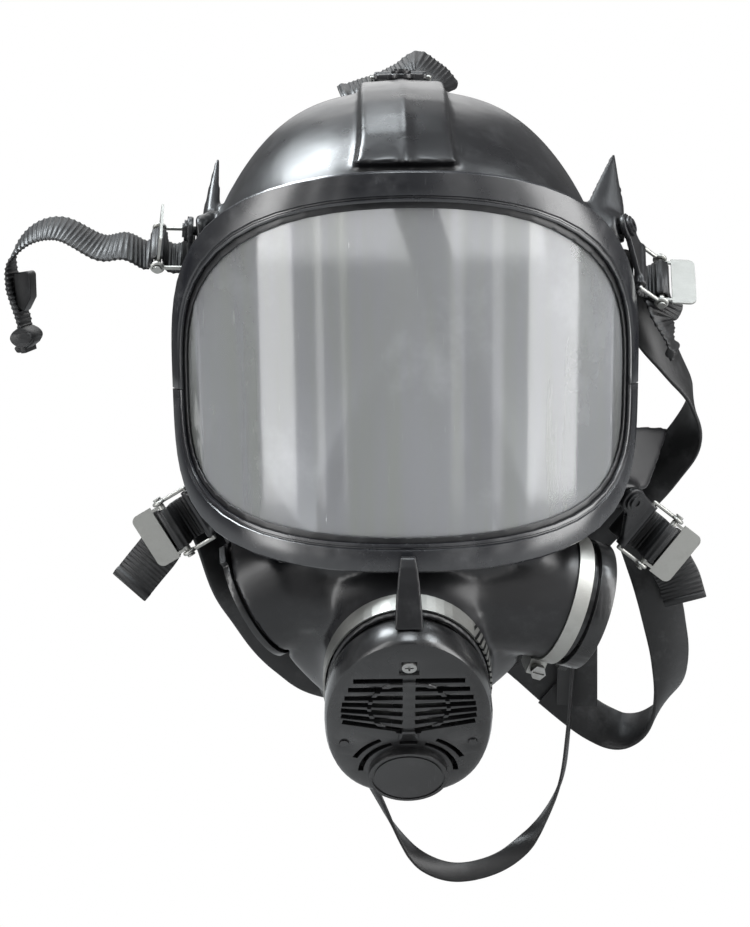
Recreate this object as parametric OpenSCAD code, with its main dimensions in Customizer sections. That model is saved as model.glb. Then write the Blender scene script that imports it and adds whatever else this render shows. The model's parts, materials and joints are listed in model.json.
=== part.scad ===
// Full-face breathing mask of an air pack: the facepiece with its visor, clamp frame,
// chin unit, side port, head harness and quick-release buckles.
// X is the wearer's left, the visor faces -Y and +Z is up. The origin is the centre of
// the face opening, level with the eyes.

/* [Visor] */
// Outside radius of the curved visor
visor_r = 110; // [102:1:120]
// Distance from the origin to the visor's front
front_y = 110; // [108:0.5:112]
// Visor thickness
visor_t = 2.5; // [2:0.1:3.5]
// Half width of the clear opening, measured along the curve
opening_arc = 108; // [100:1:112]
// Height of the opening's upper corners above the centre
opening_top = 53.5; // [48:0.5:58]
// Extra height of the opening at the middle of its upper edge
arch_top = 21; // [14:0.5:24]
// Depth of the opening's lower corners below the centre
opening_bottom = 49; // [44:0.5:54]
// Extra depth of the opening at the middle of its lower edge
arch_bottom = 4.5; // [2:0.5:8]
// Squareness of the corners, where 2 is an ellipse
corner_n = 3.5; // [3:0.1:4.5]
// How far the visor's edge reaches under the clamp frame
visor_grip = 6.8; // [6:0.1:8]

/* [Clamp frame] */
// Width of the frame from its inner lip to its outer edge, at the middle
frame_w = 14; // [13:0.5:16]
// Share of that width at the sides
side_share = 0.7; // [0.6:0.05:1]
// Thickness of the frame's front wall
frame_t = 2; // [1.6:0.1:2.6]
// Depth of the frame's outer wall behind its front face
frame_depth = 12.5; // [11:0.5:14]
// Diameter of the screws that join the frame halves
frame_screw_d = 3; // [2.5:0.5:3]

/* [Face body] */
// Thickness of the moulded rubber
rubber_t = 2.5; // [2:0.1:3]
// Half width of the face opening
seal_x = 80; // [76:1:84]
// Height of the face opening's top edge
seal_top = 124; // [120:1:128]
// Depth of the face opening's bottom edge
seal_bottom = 129; // [124:1:134]
// Width of the raised panel on the forehead
panel_w = 36; // [30:1:42]

/* [Chin unit] */
// Tilt of the chin unit's axis below level
chin_tilt = 32; // [28:1:36]
// Half width of the chin housing
chin_a = 31.8; // [30.4:0.2:32.4]
// Half height of the chin housing
chin_b = 47; // [46:0.5:48]
// Depth of the chin cover's rim
cover_depth = 12.6; // [11:0.2:14]
// Wall of the chin cover
cover_t = 2; // [1.6:0.1:2.4]
// Diameter of the speech diaphragm
diaphragm_d = 30; // [28:0.5:32]
// Diameter of the exhalation valve disc
exhale_d = 28; // [26:0.5:30]
// Travel of the exhalation valve disc
exhale_travel = 2.5; // [1.5:0.1:3]
// Diameter of the round disc on the cover
disc_d = 33.5; // [31:0.5:35]

/* [Side port] */
// Inside diameter of the breathing port
port_bore_d = 40; // [36:0.5:41]
// Diameter of the port's flange
flange_d = 56; // [54:0.5:60]
// Thickness of the port's flange
flange_t = 7; // [6:0.5:9]
// Travel of the port's release latch
latch_travel = 2; // [1:0.1:2.5]

/* [Harness] */
// Width of the head straps
strap_w = 20; // [18:0.5:21]
// Thickness of the head straps
strap_t = 2; // [1.6:0.1:2.2]
// Width of the neck strap
neck_w = 9; // [7:0.5:12]
// Thickness of the neck strap
neck_t = 1.6; // [1.2:0.1:2]

/* [Buckles] */
// Diameter of the bail wire
wire_d = 1.8; // [1.6:0.1:2]
// Length of the bail from its hinge to the plate's hinge
bail_l = 13; // [12:0.5:16]
// Length of the plate beyond its hinge
plate_l = 15; // [13:0.5:18]
// Thickness of the steel plate
plate_t = 1; // [0.8:0.1:1.2]
// Swing of each bail to either side of rest
bail_swing = 15; // [5:1:15]

/* [Hidden] */

// Running clearance of a pin in its hole, on the radius
run_clear = 0.05;
// Clearance between seated pieces
seat_clear = 0.3;
// Colours
RUBBER = [0.16, 0.16, 0.17];
PLASTIC = [0.12, 0.12, 0.13];
STEEL = [0.72, 0.72, 0.70];
STRAP = [0.10, 0.10, 0.11];
CLEAR = [0.75, 0.80, 0.82, 0.4];

// Stations round the rim, and from the rim to the face seal
RIM_STEPS = 72;
BODY_STEPS = 8;
// Radii of the clamp frame's faces, from the visor outwards
lip_r = visor_r + seat_clear;
plate_r = lip_r + 1.3;
front_r = plate_r + frame_t;
frame_wall = 2;
rim_grow = frame_w - frame_wall - seat_clear;
shell_r = front_r - frame_depth;
back_r = visor_r - visor_t - seat_clear;

function unit(v) = v / norm(v);
function along(a, b, s) = a * (1 - s) + b * s;
function bezier(p, w) =
    p[0] * pow(1 - w, 3) + p[1] * 3 * w * pow(1 - w, 2) + p[2] * 3 * w * w * (1 - w) + p[3] * pow(w, 3);
// Point at share s between b and c of a smooth curve through a, b, c and d
function smooth(a, b, c, d, s) =
    b + ((c - a) * s + (a * 2 - b * 5 + c * 4 - d) * s * s + ((b - c) * 3 + d - a) * s * s * s) / 2;
// Points of that curve through the whole list, n for each stretch
function curve(p, n) =
    let (e = concat([p[0] * 2 - p[1]], p, [p[len(p) - 1] * 2 - p[len(p) - 2]]))
    concat([for (i = [1:len(p) - 1], k = [0:n - 1]) smooth(e[i - 1], e[i], e[i + 1], e[i + 2], k / n)], [p[len(p) - 1]]);
// Radius factor of a squircle of power n at angle t
function squircle(t, n) = pow(pow(abs(cos(t)), n) + pow(abs(sin(t)), n), -1 / n);
function oval_pts(a, b, n = 60) = [for (i = [0:n - 1]) [a * cos(360 * i / n), b * sin(360 * i / n)]];
// Points of an oval whose lower half is fuller
full_n = 2.5;
function full_pts(a, b, n = 60) = [
    for (i = [0:n - 1])
        let (c = cos(360 * i / n), s = sin(360 * i / n), k = s < 0 ? 2 / full_n : 1)
        [a * sign(c) * pow(abs(c), k), b * sign(s) * pow(abs(s), k)]
];
function ring_at(pts, z) = [for (p = pts) [p[0], p[1], z]];

// Solid skinned over rings of equal length, closed by its end rings, or joined into a loop
module skin(rings, loop = false) {
    n = len(rings[0]);
    m = len(rings);
    last = loop ? m - 1 : m - 2;
    sides = [
        for (i = [0:last], j = [0:n - 1])
            let (a = i * n + j, b = i * n + (j + 1) % n, c = (i + 1) % m * n + j, d = (i + 1) % m * n + (j + 1) % n)
            each [[a, b, c], [b, d, c]]
    ];
    caps = loop ? [] : [[for (j = [n - 1:-1:0]) j], [for (j = [0:n - 1]) (m - 1) * n + j]];
    polyhedron([for (r = rings) each r], concat(sides, caps), convexity = 8);
}
// Solid skinned over rings, closed by a fan to the point front and one to the point back
module loft(rings, front, back) {
    n = len(rings[0]);
    m = len(rings);
    sides = [
        for (i = [0:m - 2], j = [0:n - 1])
            let (a = i * n + j, b = i * n + (j + 1) % n, c = a + n, d = b + n)
            each [[a, b, c], [b, d, c]]
    ];
    caps = [for (j = [0:n - 1]) each [[n * m, (j + 1) % n, j], [n * m + 1, n * (m - 1) + j, n * (m - 1) + (j + 1) % n]]];
    polyhedron(concat([for (r = rings) each r], [front, back]), concat(sides, caps), convexity = 6);
}
// Children in a frame at o, with local X along x and local Y near y
module at(o, x, y) {
    z = unit(cross(x, y));
    u = unit(x);
    v = cross(z, u);
    multmatrix([[u[0], v[0], z[0], o[0]], [u[1], v[1], z[1], o[1]], [u[2], v[2], z[2], o[2]], [0, 0, 0, 1]]) children();
}
// Flat band through points p, with width vectors w, width b and thickness t
module ribbon(p, w, b, t) {
    n = len(p);
    rings = [
        for (i = [0:n - 1])
            let (
                d = unit(p[min(i + 1, n - 1)] - p[max(i - 1, 0)]),
                nn = unit(cross(d, w[i])),
                ww = cross(nn, d) * b / 2,
                tt = nn * t / 2
            )
            [p[i] + ww + tt, p[i] - ww + tt, p[i] - ww - tt, p[i] + ww - tt]
    ];
    skin([for (r = rings) [r[3], r[2], r[1], r[0]]]);
}
module tube(r_out, r_in, z0, z1, fn = 64) {
    difference() {
        translate([0, 0, z0]) cylinder(r = r_out, h = z1 - z0, $fn = fn);
        translate([0, 0, z0 - 1]) cylinder(r = r_in, h = z1 - z0 + 2, $fn = fn);
    }
}
module disc(r, z0, z1, fn = 64) {
    translate([0, 0, z0]) cylinder(r = r, h = z1 - z0, $fn = fn);
}
module torus(r, w, fn = 48) {
    rotate_extrude($fn = fn) translate([r, 0]) circle(r = w, $fn = 16);
}
module oval(a, b, z0, z1) {
    translate([0, 0, z0]) linear_extrude(z1 - z0) polygon(oval_pts(a, b));
}
module oval_tube(a, b, wall, z0, z1) {
    difference() {
        oval(a, b, z0, z1);
        oval(a - wall, b - wall, z0 - 1, z1 + 1);
    }
}

// ---------------------------------------------------------------- window

// Place of the visor cylinder's axis
axis_y = visor_r - front_y;
// Point of the rim at angle t, lying grow outside the clear opening, on a cylinder of radius r
function rim_pt(t, grow, r) =
    let (
        k = squircle(t, corner_n),
        u = k * cos(t),
        v = k * sin(t),
        up = opening_top + grow + arch_top * (1 - u * u),
        down = opening_bottom + grow + arch_bottom * (1 - u * u),
        a = (opening_arc + side_share * grow) * u / visor_r * 180 / PI
    )
    [r * sin(a), axis_y - r * cos(a), v * (v > 0 ? up : down)];

module visor() {
    color(CLEAR)
    intersection() {
        difference() {
            translate([0, axis_y, -100]) cylinder(r = visor_r, h = 220, $fn = 180);
            translate([0, axis_y, -101]) cylinder(r = visor_r - visor_t, h = 222, $fn = 180);
        }
        loft(
            [for (r = [visor_r + 12, visor_r - 20]) [for (k = [0:RIM_STEPS - 1]) rim_pt(360 * k / RIM_STEPS, visor_grip, r)]],
            [0, -front_y - 80, 0], [0, -60, 0]
        );
    }
}
frame_section = [
    [frame_w, shell_r],
    [frame_w, front_r - 0.8],
    [frame_w - 0.8, front_r],
    [4.8, front_r],
    [4.4, front_r - 0.9],
    [3.9, front_r - 0.9],
    [3.5, front_r - 0.3],
    [2.4, front_r - 0.6],
    [2.4, plate_r],
    [frame_w - frame_wall, plate_r],
    [frame_w - frame_wall, shell_r]
];
// Half gap between the frame halves, as an angle
frame_split = 0.2;
// Place of the screws across the frame's channel
screw_grow = frame_w - frame_wall - 4.3;
screw_r = shell_r + 3.2;
module frame_half(up) {
    t0 = up ? frame_split : 180 + frame_split;
    step = (180 - 2 * frame_split) / (RIM_STEPS / 2);
    skin([
        for (k = [0:RIM_STEPS / 2])
            [for (s = frame_section) rim_pt(t0 + k * step, s[0], s[1])]
    ]);
}
// Children at the joint of the frame halves, behind the frame's wall on both sides
module at_joints() {
    p = rim_pt(0, frame_w, shell_r);
    for (m = [0, 1]) mirror([m, 0, 0]) translate([p[0], p[1], 0]) children();
}
module lug(z0, z1) {
    translate([0, 0, z0]) linear_extrude(z1 - z0) polygon([[2, -2], [8.4, -5.5], [8.4, 2.4], [5.7, 6.6], [2, 6.6]]);
}
lug_hole = [5, 2.2, 0];
lug_gap = 0.5;
lug_h = 6;
module frame_upper() {
    color(PLASTIC)
    difference() {
        union() {
            frame_half(true);
            at_joints() lug(lug_gap / 2, lug_h);
        }
        at_joints() translate(lug_hole - [0, 0, 1]) cylinder(r = frame_screw_d / 2 + 0.1, h = lug_h + 2, $fn = 32);
    }
}
module frame_lower() {
    color(PLASTIC)
    difference() {
        union() {
            frame_half(false);
            at_joints() lug(-lug_h, -lug_gap / 2);
        }
        at_joints() translate(lug_hole - [0, 0, lug_h + 1]) cylinder(r = frame_screw_d / 2 + 0.1, h = lug_h + 2, $fn = 32);
    }
}
module frame_screws() {
    color(STEEL)
    at_joints() translate(lug_hole) {
        translate([0, 0, -lug_h - 3]) cylinder(r = frame_screw_d / 2, h = 2 * lug_h + 3, $fn = 32);
        difference() {
            translate([0, 0, lug_h]) cylinder(r = frame_screw_d - 0.2, h = 1.8, $fn = 32);
            translate([-2, -0.4, lug_h + 1]) cube([4, 0.8, 2]);
        }
    }
}
module frame_nuts() {
    color(STEEL)
    at_joints() translate(lug_hole - [0, 0, lug_h + 2.4])
        difference() {
            cylinder(r = frame_screw_d + 0.1, h = 2.4, $fn = 6);
            translate([0, 0, -1]) cylinder(r = frame_screw_d / 2 + 0.02, h = 5, $fn = 32);
        }
}

// ---------------------------------------------------------------- face body

// Ends of the side profile at angle t: rim point, two handles and seal point, moved in by inset
function body_ends(t, inset) =
    let (
        top = pow(max(0, sin(t)), 2),
        bottom = pow(max(0, -sin(t)), 2),
        side = pow(cos(t), 2),
        p0 = rim_pt(t, rim_grow - 0.3, shell_r - 0.15),
        k = squircle(t, sin(t) > 0 ? 2.9 : 2.3),
        high = sin(t) > 0 ? seal_top : seal_bottom,
        p3 = [seal_x * k * cos(t), -12 * top + 14 * side - 22 * bottom, high * k * sin(t)],
        o0 = unit([p0[0], 0, p0[2]]),
        o3 = unit([p3[0], 0, p3[2]]),
        h0 = [20 * top + 4 * side + 26 * bottom, 15 * top + 18 * side + 3 * bottom],
        h3 = [4 * top + 6 * side + 26 * bottom, 38 * top + 20 * side + 24 * bottom],
        n0 = unit(o0 * h0[1] - [0, h0[0], 0]) * inset,
        n3 = unit(o3 * h3[1] + [0, h3[0], 0]) * inset
    )
    [p0 - n0, p0 - n0 + o0 * h0[0] + [0, h0[1], 0], p3 - n3 + o3 * h3[0] - [0, h3[1], 0], p3 - n3];
function body_pt(t, w, inset) = bezier(body_ends(t, inset), w);
// Solid filled by the body, out to its skin less inset, reaching past both ends by reach
module body_solid(inset, reach) {
    loft(
        [for (i = [0:BODY_STEPS]) [for (k = [0:RIM_STEPS - 1]) body_pt(360 * k / RIM_STEPS, i / BODY_STEPS, inset)]],
        [0, -90 - reach, 8], [0, reach, -10]
    );
}
// Ring that grips the visor's edge inside the clamp frame
module rim_ring() {
    section = [
        [0, lip_r], [0, plate_r - 0.5], [1, plate_r - 0.3], [rim_grow, plate_r - 0.3], [rim_grow, shell_r - 0.3],
        [rim_grow - 2.2, shell_r - 0.8], [rim_grow - 3.2, shell_r + 2.4], [3, back_r - 2.4], [3, back_r],
        [visor_grip + seat_clear, back_r], [visor_grip + seat_clear, lip_r]
    ];
    skin([for (k = [RIM_STEPS - 1:-1:0]) [for (s = section) rim_pt(360 * k / RIM_STEPS, s[0], s[1])]], true);
}
// Rolled edge that seals against the face
module seal_lip() {
    section = [[-0.15, -3], [0.25, 0.15], [-2.6, 2.9], [-12, 1.2], [-12.4, -0.6], [-4.2, -0.4], [-2.1, -3.4]];
    skin(
        [
            for (k = [RIM_STEPS - 1:-1:0])
                let (p = body_pt(360 * k / RIM_STEPS, 1, 0), o = unit([p[0], 0, p[2]]))
                [for (s = section) p + o * s[0] + [0, s[1], 0]]
        ],
        true
    );
}
module panel_outline(w, z0) {
    rotate([90, 0, 0])
        linear_extrude(140)
            polygon([[-w - 2, z0], [w + 2, z0], [w + 0.6, z0 + 5], [w, z0 + 12], [w, seal_top + 9], [-w, seal_top + 9], [-w, z0 + 12], [-w - 0.6, z0 + 5]]);
}
module forehead_panel() {
    z0 = opening_top + arch_top + frame_w + 2.5;
    intersection() {
        union() {
            body_solid(-4.5, 0);
            intersection() {
                body_solid(-5.4, 0);
                translate([-0.9, -120, z0]) cube([1.8, 130, 50]);
            }
        }
        panel_outline(panel_w / 2, z0);
    }
}
// Children in the frame of the chin unit: X across, Y up its face, Z outwards
chin_at = [-1, -109, -132];
module chin() {
    translate(chin_at) rotate([90 + chin_tilt, 0, 0]) children();
}
neck_front = -16;
neck_gap = 0.2;
neck_a = chin_a + 2.3;
neck_b = chin_b + 2.3;
NECK_RINGS = [
    [neck_front - 11, 0, 0, 0], [neck_front - 17, 2.7, 0, 0], [neck_front - 22, 9.7, -0.8, 1], [neck_front - 27, 17.7, -3.3, 2],
    [neck_front - 39, 24.2, -7.3, 4], [neck_front - 46, 26.7, -11.3, 6]
];
module chin_neck(inset, reach) {
    chin()
        skin([
            for (r = concat([[neck_front + reach, 0, 0, 0]], NECK_RINGS, [[neck_front - 46.5 - reach, 26.7, -11.3, 6]]))
                [for (p = oval_pts(neck_a + r[1] - inset, neck_b + r[2] - inset, 48)) [p[0], p[1] + r[3], r[0]]]
        ]);
}
// Children in a frame at o with Z along d and X level
module at_port(o, d) {
    u = unit(cross(d, [0, 0, 1]));
    at(o, u, cross(d, u)) children();
}
// The breathing port on one side, the blanked port on the other
port_from = [66, -65, -92];
port_dir = unit([0.94, 0.11, -0.32]);
blank_from = [-54, -66, -84.5];
blank_dir = unit([-0.87, 0.11, -0.46]);
module port_one() {
    at_port(port_from, port_dir) children();
}
module blank_one() {
    at_port(blank_from, blank_dir) children();
}
port_neck_r = port_bore_d / 2 + 7.5;
port_rim = 4;
tube_r = port_neck_r - rubber_t - neck_gap;
blank_rim = 10.5;
blank_lip = 2.6;
module port_necks(inset, z0, z1, z2) {
    port_one() disc(port_neck_r - inset, z0, z1, 48);
    blank_one() disc(port_neck_r - 1 - inset, z0, z2, 48);
}
// Full cheeks between the ports and the chin
module cheeks(inset) {
    hull() {
        port_one() disc(port_neck_r - inset - 0.15, -8, -7, 48);
        translate([12, -74, -86]) sphere(r = 24 - inset, $fn = 24);
    }
    hull() {
        blank_one() disc(port_neck_r - 1.15 - inset, -5, -4, 48);
        translate([-12, -74, -86]) sphere(r = 24 - inset, $fn = 24);
    }
}
// Room round the necks for the band and the flanges
module neck_room() {
    port_one() difference() {
        disc(flange_d / 2 + 4, port_band_z - 0.5, flange_z + flange_t + 4, 48);
        disc(port_neck_r + 0.1, port_band_z - 1, port_rim, 48);
    }
    blank_one() disc(port_neck_r + 1, blank_rim, blank_rim + 12, 48);
}
// Room over the body for link l
module link_room(l) {
    s = link_s(l);
    d = norm(link_w(l));
    at_link(l) {
        translate([0, 0, -link_t / 2 - seat_clear]) linear_extrude(10)
            polygon([[-hem_l / 2 - 1, 4], [hem_l / 2 + 1, 4], [s + 6.8, -d], [s + 6.8, -d - 6.8], [s - 6.8, -d - 6.8], [s - 6.8, -d]]);
        translate([-arm_x - 1, 0, 0]) rotate([0, 90, 0]) cylinder(r = hem_r + seat_clear, h = 2 * arm_x + 2, $fn = 24);
    }
}
// Rubber flap through points p, with a boss at the stud s facing n
module wing(p, s, n) {
    side = cross(n, [0.1, 0.2, 1]);
    hull() for (q = p) translate(q) sphere(r = 1.5, $fn = 10);
    hull() {
        at(s - n * 3.2, side, cross(n, side)) disc(6.5, -1.4, 1.4, 20);
        for (q = [p[0], p[1]]) translate(q) sphere(r = 1.35, $fn = 8);
    }
}
module face_body() {
    color(RUBBER)
    difference() {
        union() {
            difference() {
                union() {
                    body_solid(0, 0);
                    chin_neck(0, 0);
                    port_necks(0, -9, port_rim, blank_rim);
                    cheeks(0);
                    forehead_panel();
                    for (i = [0:3]) wing(WINGS[i], LINKS[i][3], link_n(LINKS[i]));
                }
                body_solid(rubber_t, 20);
                chin_neck(rubber_t, 5);
                port_necks(rubber_t, -20, flange_z, blank_rim + 1);
                cheeks(rubber_t);
                neck_room();
            }
            rim_ring();
            seal_lip();
        }
        for (l = LINKS) {
            stud(l, 0.15, -9, 4);
            link_room(l);
        }
    }
}

// ---------------------------------------------------------------- nose cup

cup_t = 2;
cup_w = 41;
cup_top = 82;
cup_drop = 44;
cup_mid = -62;
cup_collar = [26, 38, 4];
cup_seat = -48;
CUP_STEPS = 48;
// Point of the cup at angle t, from the face (w = 0) to its collar (w = 1)
function cup_pt(t, w, inset) =
    let (
        c = cos(t),
        s = sin(t),
        top = pow(max(0, s), 2),
        bottom = pow(max(0, -s), 2),
        side = c * c,
        narrow = 1 - 0.62 * pow(max(0, s), 1.5),
        p0 = [(cup_w - inset) * c * narrow, -14 - 8 * top - 2 * bottom, cup_mid + (s > 0 ? cup_top - inset : cup_drop - inset) * s],
        p3 = collar_pt(t, inset, cup_seat),
        h0 = [0, -(50 - inset) * top - 25 * side - 14 * bottom, 2 * top - 2 * bottom],
        h3 = [9 * c * side, (2 + inset / 2) * top + 10 * side + 12 * bottom, (40 - inset) * top + 14 * side + 6 * bottom]
    )
    bezier([p0, p0 + h0, p3 + h3, p3], w);
function collar_pt(t, inset, z) =
    let (
        x = (cup_collar[0] - inset) * cos(t),
        y = cup_collar[2] + (cup_collar[1] - inset) * sin(t),
        a = 90 + chin_tilt
    )
    chin_at + [x, y * cos(a) - z * sin(a), y * sin(a) + z * cos(a)];
cup_valve_r = 9;
cup_valve_t = 28;
cup_valve_w = 0.4;
module at_cup_valves() {
    o = cup_pt(cup_valve_t, cup_valve_w, cup_t / 2);
    n = unit(cross(
        cup_pt(cup_valve_t + 2, cup_valve_w, 0) - cup_pt(cup_valve_t - 2, cup_valve_w, 0),
        cup_pt(cup_valve_t, cup_valve_w - 0.05, 0) - cup_pt(cup_valve_t, cup_valve_w + 0.05, 0)
    ));
    x = cross([0, 0, 1], n);
    for (m = [0, 1]) mirror([m, 0, 0]) at(o, x, cross(n, x)) children();
}
module nose_cup() {
    w = [for (i = [0:6]) i / 6];
    color(RUBBER)
    difference() {
        skin(
            [
                for (k = [0:CUP_STEPS - 1])
                    let (t = 360 * k / CUP_STEPS)
                    concat(
                        [for (v = w) cup_pt(t, v, 0)],
                        [collar_pt(t, 0, plate_back - seat_clear), collar_pt(t, cup_t, plate_back - seat_clear)],
                        [for (i = [6:-1:0]) cup_pt(t, w[i], cup_t)]
                    )
            ],
            true
        );
        at_cup_valves() disc(cup_valve_r + 0.2, -8, 8, 32);
    }
}
module cup_valve_seats() {
    color(PLASTIC)
    at_cup_valves() {
        tube(cup_valve_r, cup_valve_r - 2, -2, 3);
        for (a = [0, 60, 120]) rotate([0, 0, a]) translate([-cup_valve_r + 1, -0.6, 0]) cube([2 * cup_valve_r - 2, 1.2, 1.4]);
    }
}
module cup_valve_flaps() {
    color(RUBBER)
    at_cup_valves() disc(cup_valve_r - 1, -2.8, -2, 48);
}

// ---------------------------------------------------------------- chin unit

// Heights along the chin unit's axis
plate_front = -17;
plate_back = -20;
housing_front = -10;
housing_back = -34;
housing_wall = 2;
housing_a = neck_a - rubber_t - seat_clear;
housing_b = neck_b - rubber_t - seat_clear;
cover_face = 2.4;
cover_rim = 2.5;
screw_e = 36;
peg_at = [26.5, -12];
peg_r = 1.9;
speech_e = 11.3;
exhale_e = -25;
disc_e = -32;
seat_r = exhale_d / 2 + 2.5;
seat_top = plate_front + 2.4;
disc_z = seat_top + 0.05;
disc_h = 1.2;
stem_r = 1.5;
hub_z = disc_z + disc_h + exhale_travel + 1.9;
module chin_housing() {
    color(PLASTIC)
    chin() difference() {
        union() {
            oval_tube(housing_a, housing_b, housing_wall, housing_back, housing_front);
            oval(housing_a - 1, housing_b - 1, plate_back, plate_front);
            translate([0, screw_e, 0]) disc(3.4, plate_front - 1, -cover_face, 32);
            for (s = [1, -1]) translate([s * peg_at[0], peg_at[1], 0]) disc(peg_r, plate_front - 1, 0.4, 32);
        }
        translate([0, speech_e, 0]) disc(diaphragm_d / 2 - 2, plate_back - 1, plate_front + 1);
        translate([0, exhale_e, 0]) disc(exhale_d / 2 - 3, plate_back - 1, plate_front + 1);
        translate([0, screw_e, 0]) disc(1.5 + run_clear, -13, 0, 32);
    }
}
module speech_diaphragm() {
    color(STEEL)
    chin() translate([0, speech_e, 0]) disc(diaphragm_d / 2, plate_front + 1.5, plate_front + 2);
}
module diaphragm_seal() {
    color(RUBBER)
    chin() translate([0, speech_e, 0]) tube(diaphragm_d / 2, diaphragm_d / 2 - 1.8, plate_front, plate_front + 1.5);
}
module diaphragm_ring() {
    color(PLASTIC)
    chin() translate([0, speech_e, 0]) difference() {
        disc(diaphragm_d / 2 + 2, plate_front, plate_front + 4.5);
        disc(diaphragm_d / 2 + 0.2, plate_front - 1, plate_front + 2);
        disc(diaphragm_d / 2 - 2, plate_front - 1, plate_front + 6);
        for (a = [45:90:315]) rotate([0, 0, a]) translate([diaphragm_d / 2 - 0.5, -1.2, plate_front + 3.2]) cube([3, 2.4, 2]);
    }
}
module exhale_seat() {
    color(PLASTIC)
    chin() translate([0, exhale_e, 0]) difference() {
        disc(seat_r, plate_front, seat_top);
        disc(exhale_d / 2 - 3, plate_front - 1, seat_top + 1);
        difference() {
            disc(exhale_d / 2 + 0.6, plate_front + 1.2, seat_top + 1);
            disc(exhale_d / 2 - 1.8, plate_front, seat_top + 2);
        }
    }
}
module exhale_disc() {
    color([0.45, 0.45, 0.46])
    chin() translate([0, exhale_e, 0]) {
        disc(exhale_d / 2, disc_z, disc_z + disc_h);
        disc(2.6, disc_z + disc_h, disc_z + disc_h + 1.2);
        disc(stem_r, disc_z + disc_h, hub_z + 2.4, 32);
    }
}
module exhale_bridge() {
    color(PLASTIC)
    chin() translate([0, exhale_e, 0]) {
        tube(seat_r, exhale_d / 2 + 0.6, seat_top, hub_z + 1.6);
        difference() {
            union() {
                disc(5.4, hub_z, hub_z + 1.6, 48);
                for (a = [90:120:330])
                    rotate([0, 0, a]) translate([0, -1.2, hub_z + 0.2]) cube([exhale_d / 2 + 1.2, 2.4, 1.2]);
            }
            disc(stem_r + run_clear, hub_z - 1, hub_z + 4, 32);
        }
    }
}
spring_wire = 0.3;
spring_r = 4;
spring_turns = 3;
module exhale_spring() {
    z0 = disc_z + disc_h + spring_wire + 0.05;
    h = hub_z - spring_wire - 0.05 - z0;
    steps = 16 * spring_turns;
    color(STEEL)
    chin() translate([0, exhale_e, 0])
        skin([
            for (i = [0:steps])
                let (a = 360 * i / 16)
                [for (b = [0:60:300]) [(spring_r + spring_wire * cos(b)) * cos(a), (spring_r + spring_wire * cos(b)) * sin(a), z0 + h * i / steps + spring_wire * sin(b)]]
        ]);
}
// Arc slot round the origin, from angle a0 to a1
module arc_slot(r, w, a0, a1) {
    intersection() {
        difference() {
            circle(r = r + w / 2, $fn = 64);
            circle(r = r - w / 2, $fn = 64);
        }
        polygon(concat([[0, 0]], [for (k = [0:4]) let (a = a0 + (a1 - a0) * k / 4) [2 * r * cos(a), 2 * r * sin(a)]]));
    }
}
slot_h = 2.9;
slot_pitch = 5.3;
rib_w = 5;
slot_top = 28;
slot_rows = 7;
cover_edge = 3;
module chin_cover() {
    color(PLASTIC)
    chin() difference() {
        union() {
            skin([
                ring_at(full_pts(chin_a - 0.5, chin_b), 0),
                ring_at(full_pts(chin_a + 1.6, chin_b + 2.1), -1),
                ring_at(full_pts(chin_a + cover_rim, chin_b + 3), -cover_edge),
                ring_at(full_pts(chin_a + cover_rim, chin_b + 3), -cover_depth)
            ]);
            translate([0, speech_e, 0]) tube(disc_d / 2, disc_d / 2 - 1.6, -1, 0.8);
        }
        oval(chin_a + cover_rim - cover_t, chin_b + 3 - cover_t, -cover_depth - 1, -cover_face);
        for (s = [1, -1], i = [0:slot_rows - 1]) {
            e = slot_top - slot_pitch * i;
            l = (chin_a - 4) * sqrt(1 - pow(e / (chin_b - 1), 2)) - rib_w / 2;
            translate([s * rib_w / 2, e, -cover_face - 1]) rotate([0, 0, s * max(0, i - 2) * 3.5])
                translate([s > 0 ? 0 : -l, -slot_h / 2, 0]) cube([l, slot_h, cover_face + 3]);
        }
        translate([0, disc_e, -cover_face - 1]) linear_extrude(cover_face + 3) {
            for (m = [0, 1]) mirror([m, 0]) {
                arc_slot(20, 2.2, 2, 70);
                arc_slot(24.4, 2.2, 24, 62);
            }
            arc_slot(20, 2, 79, 101);
        }
        for (s = [1, -1]) translate([s * peg_at[0], peg_at[1], 0]) disc(peg_r + 0.15, -6, 3, 32);
        translate([-4, screw_e - 4.5, -1.2]) cube([8, 8, 5]);
        translate([0, screw_e, 0]) disc(1.5 + 0.15, -6, 3, 32);
    }
}
module cover_screw() {
    color(STEEL)
    chin() translate([0, screw_e, 0]) difference() {
        union() {
            disc(1.5, -12, -1, 32);
            disc(2.9, -1.2, 0.3, 32);
        }
        for (a = [0, 90]) rotate([0, 0, a]) translate([-1.7, -0.35, -0.6]) cube([3.4, 0.7, 2]);
    }
}
module cover_disc() {
    color(PLASTIC)
    chin() translate([0, disc_e, 0]) difference() {
        disc(disc_d / 2, 0, 3.5, 96);
        translate([0, 0, 2.9]) tube(disc_d / 2 - 1.4, disc_d / 2 - 2.4, 0, 2, 96);
    }
}
module cover_tab() {
    color(RUBBER)
    translate([chin_at[0], 0, 0]) hull() {
        translate([-5.5, -130.3, -85.7]) cube([11, 0.5, 0.5]);
        translate([-5.5, -125.4, -82.5]) cube([11, 0.5, 0.5]);
        translate([-4.2, -127.4, -66]) cube([8.4, 3, 1]);
        translate([-3, -123.6, -59.5]) cube([6, 3, 1]);
        translate([-3.6, -121, -66]) cube([7.2, 1, 1]);
        translate([-5, -124.6, -81]) cube([10, 1, 1]);
    }
}
band_z = -26;
band_w = 8;
band_t = 0.8;
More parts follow.
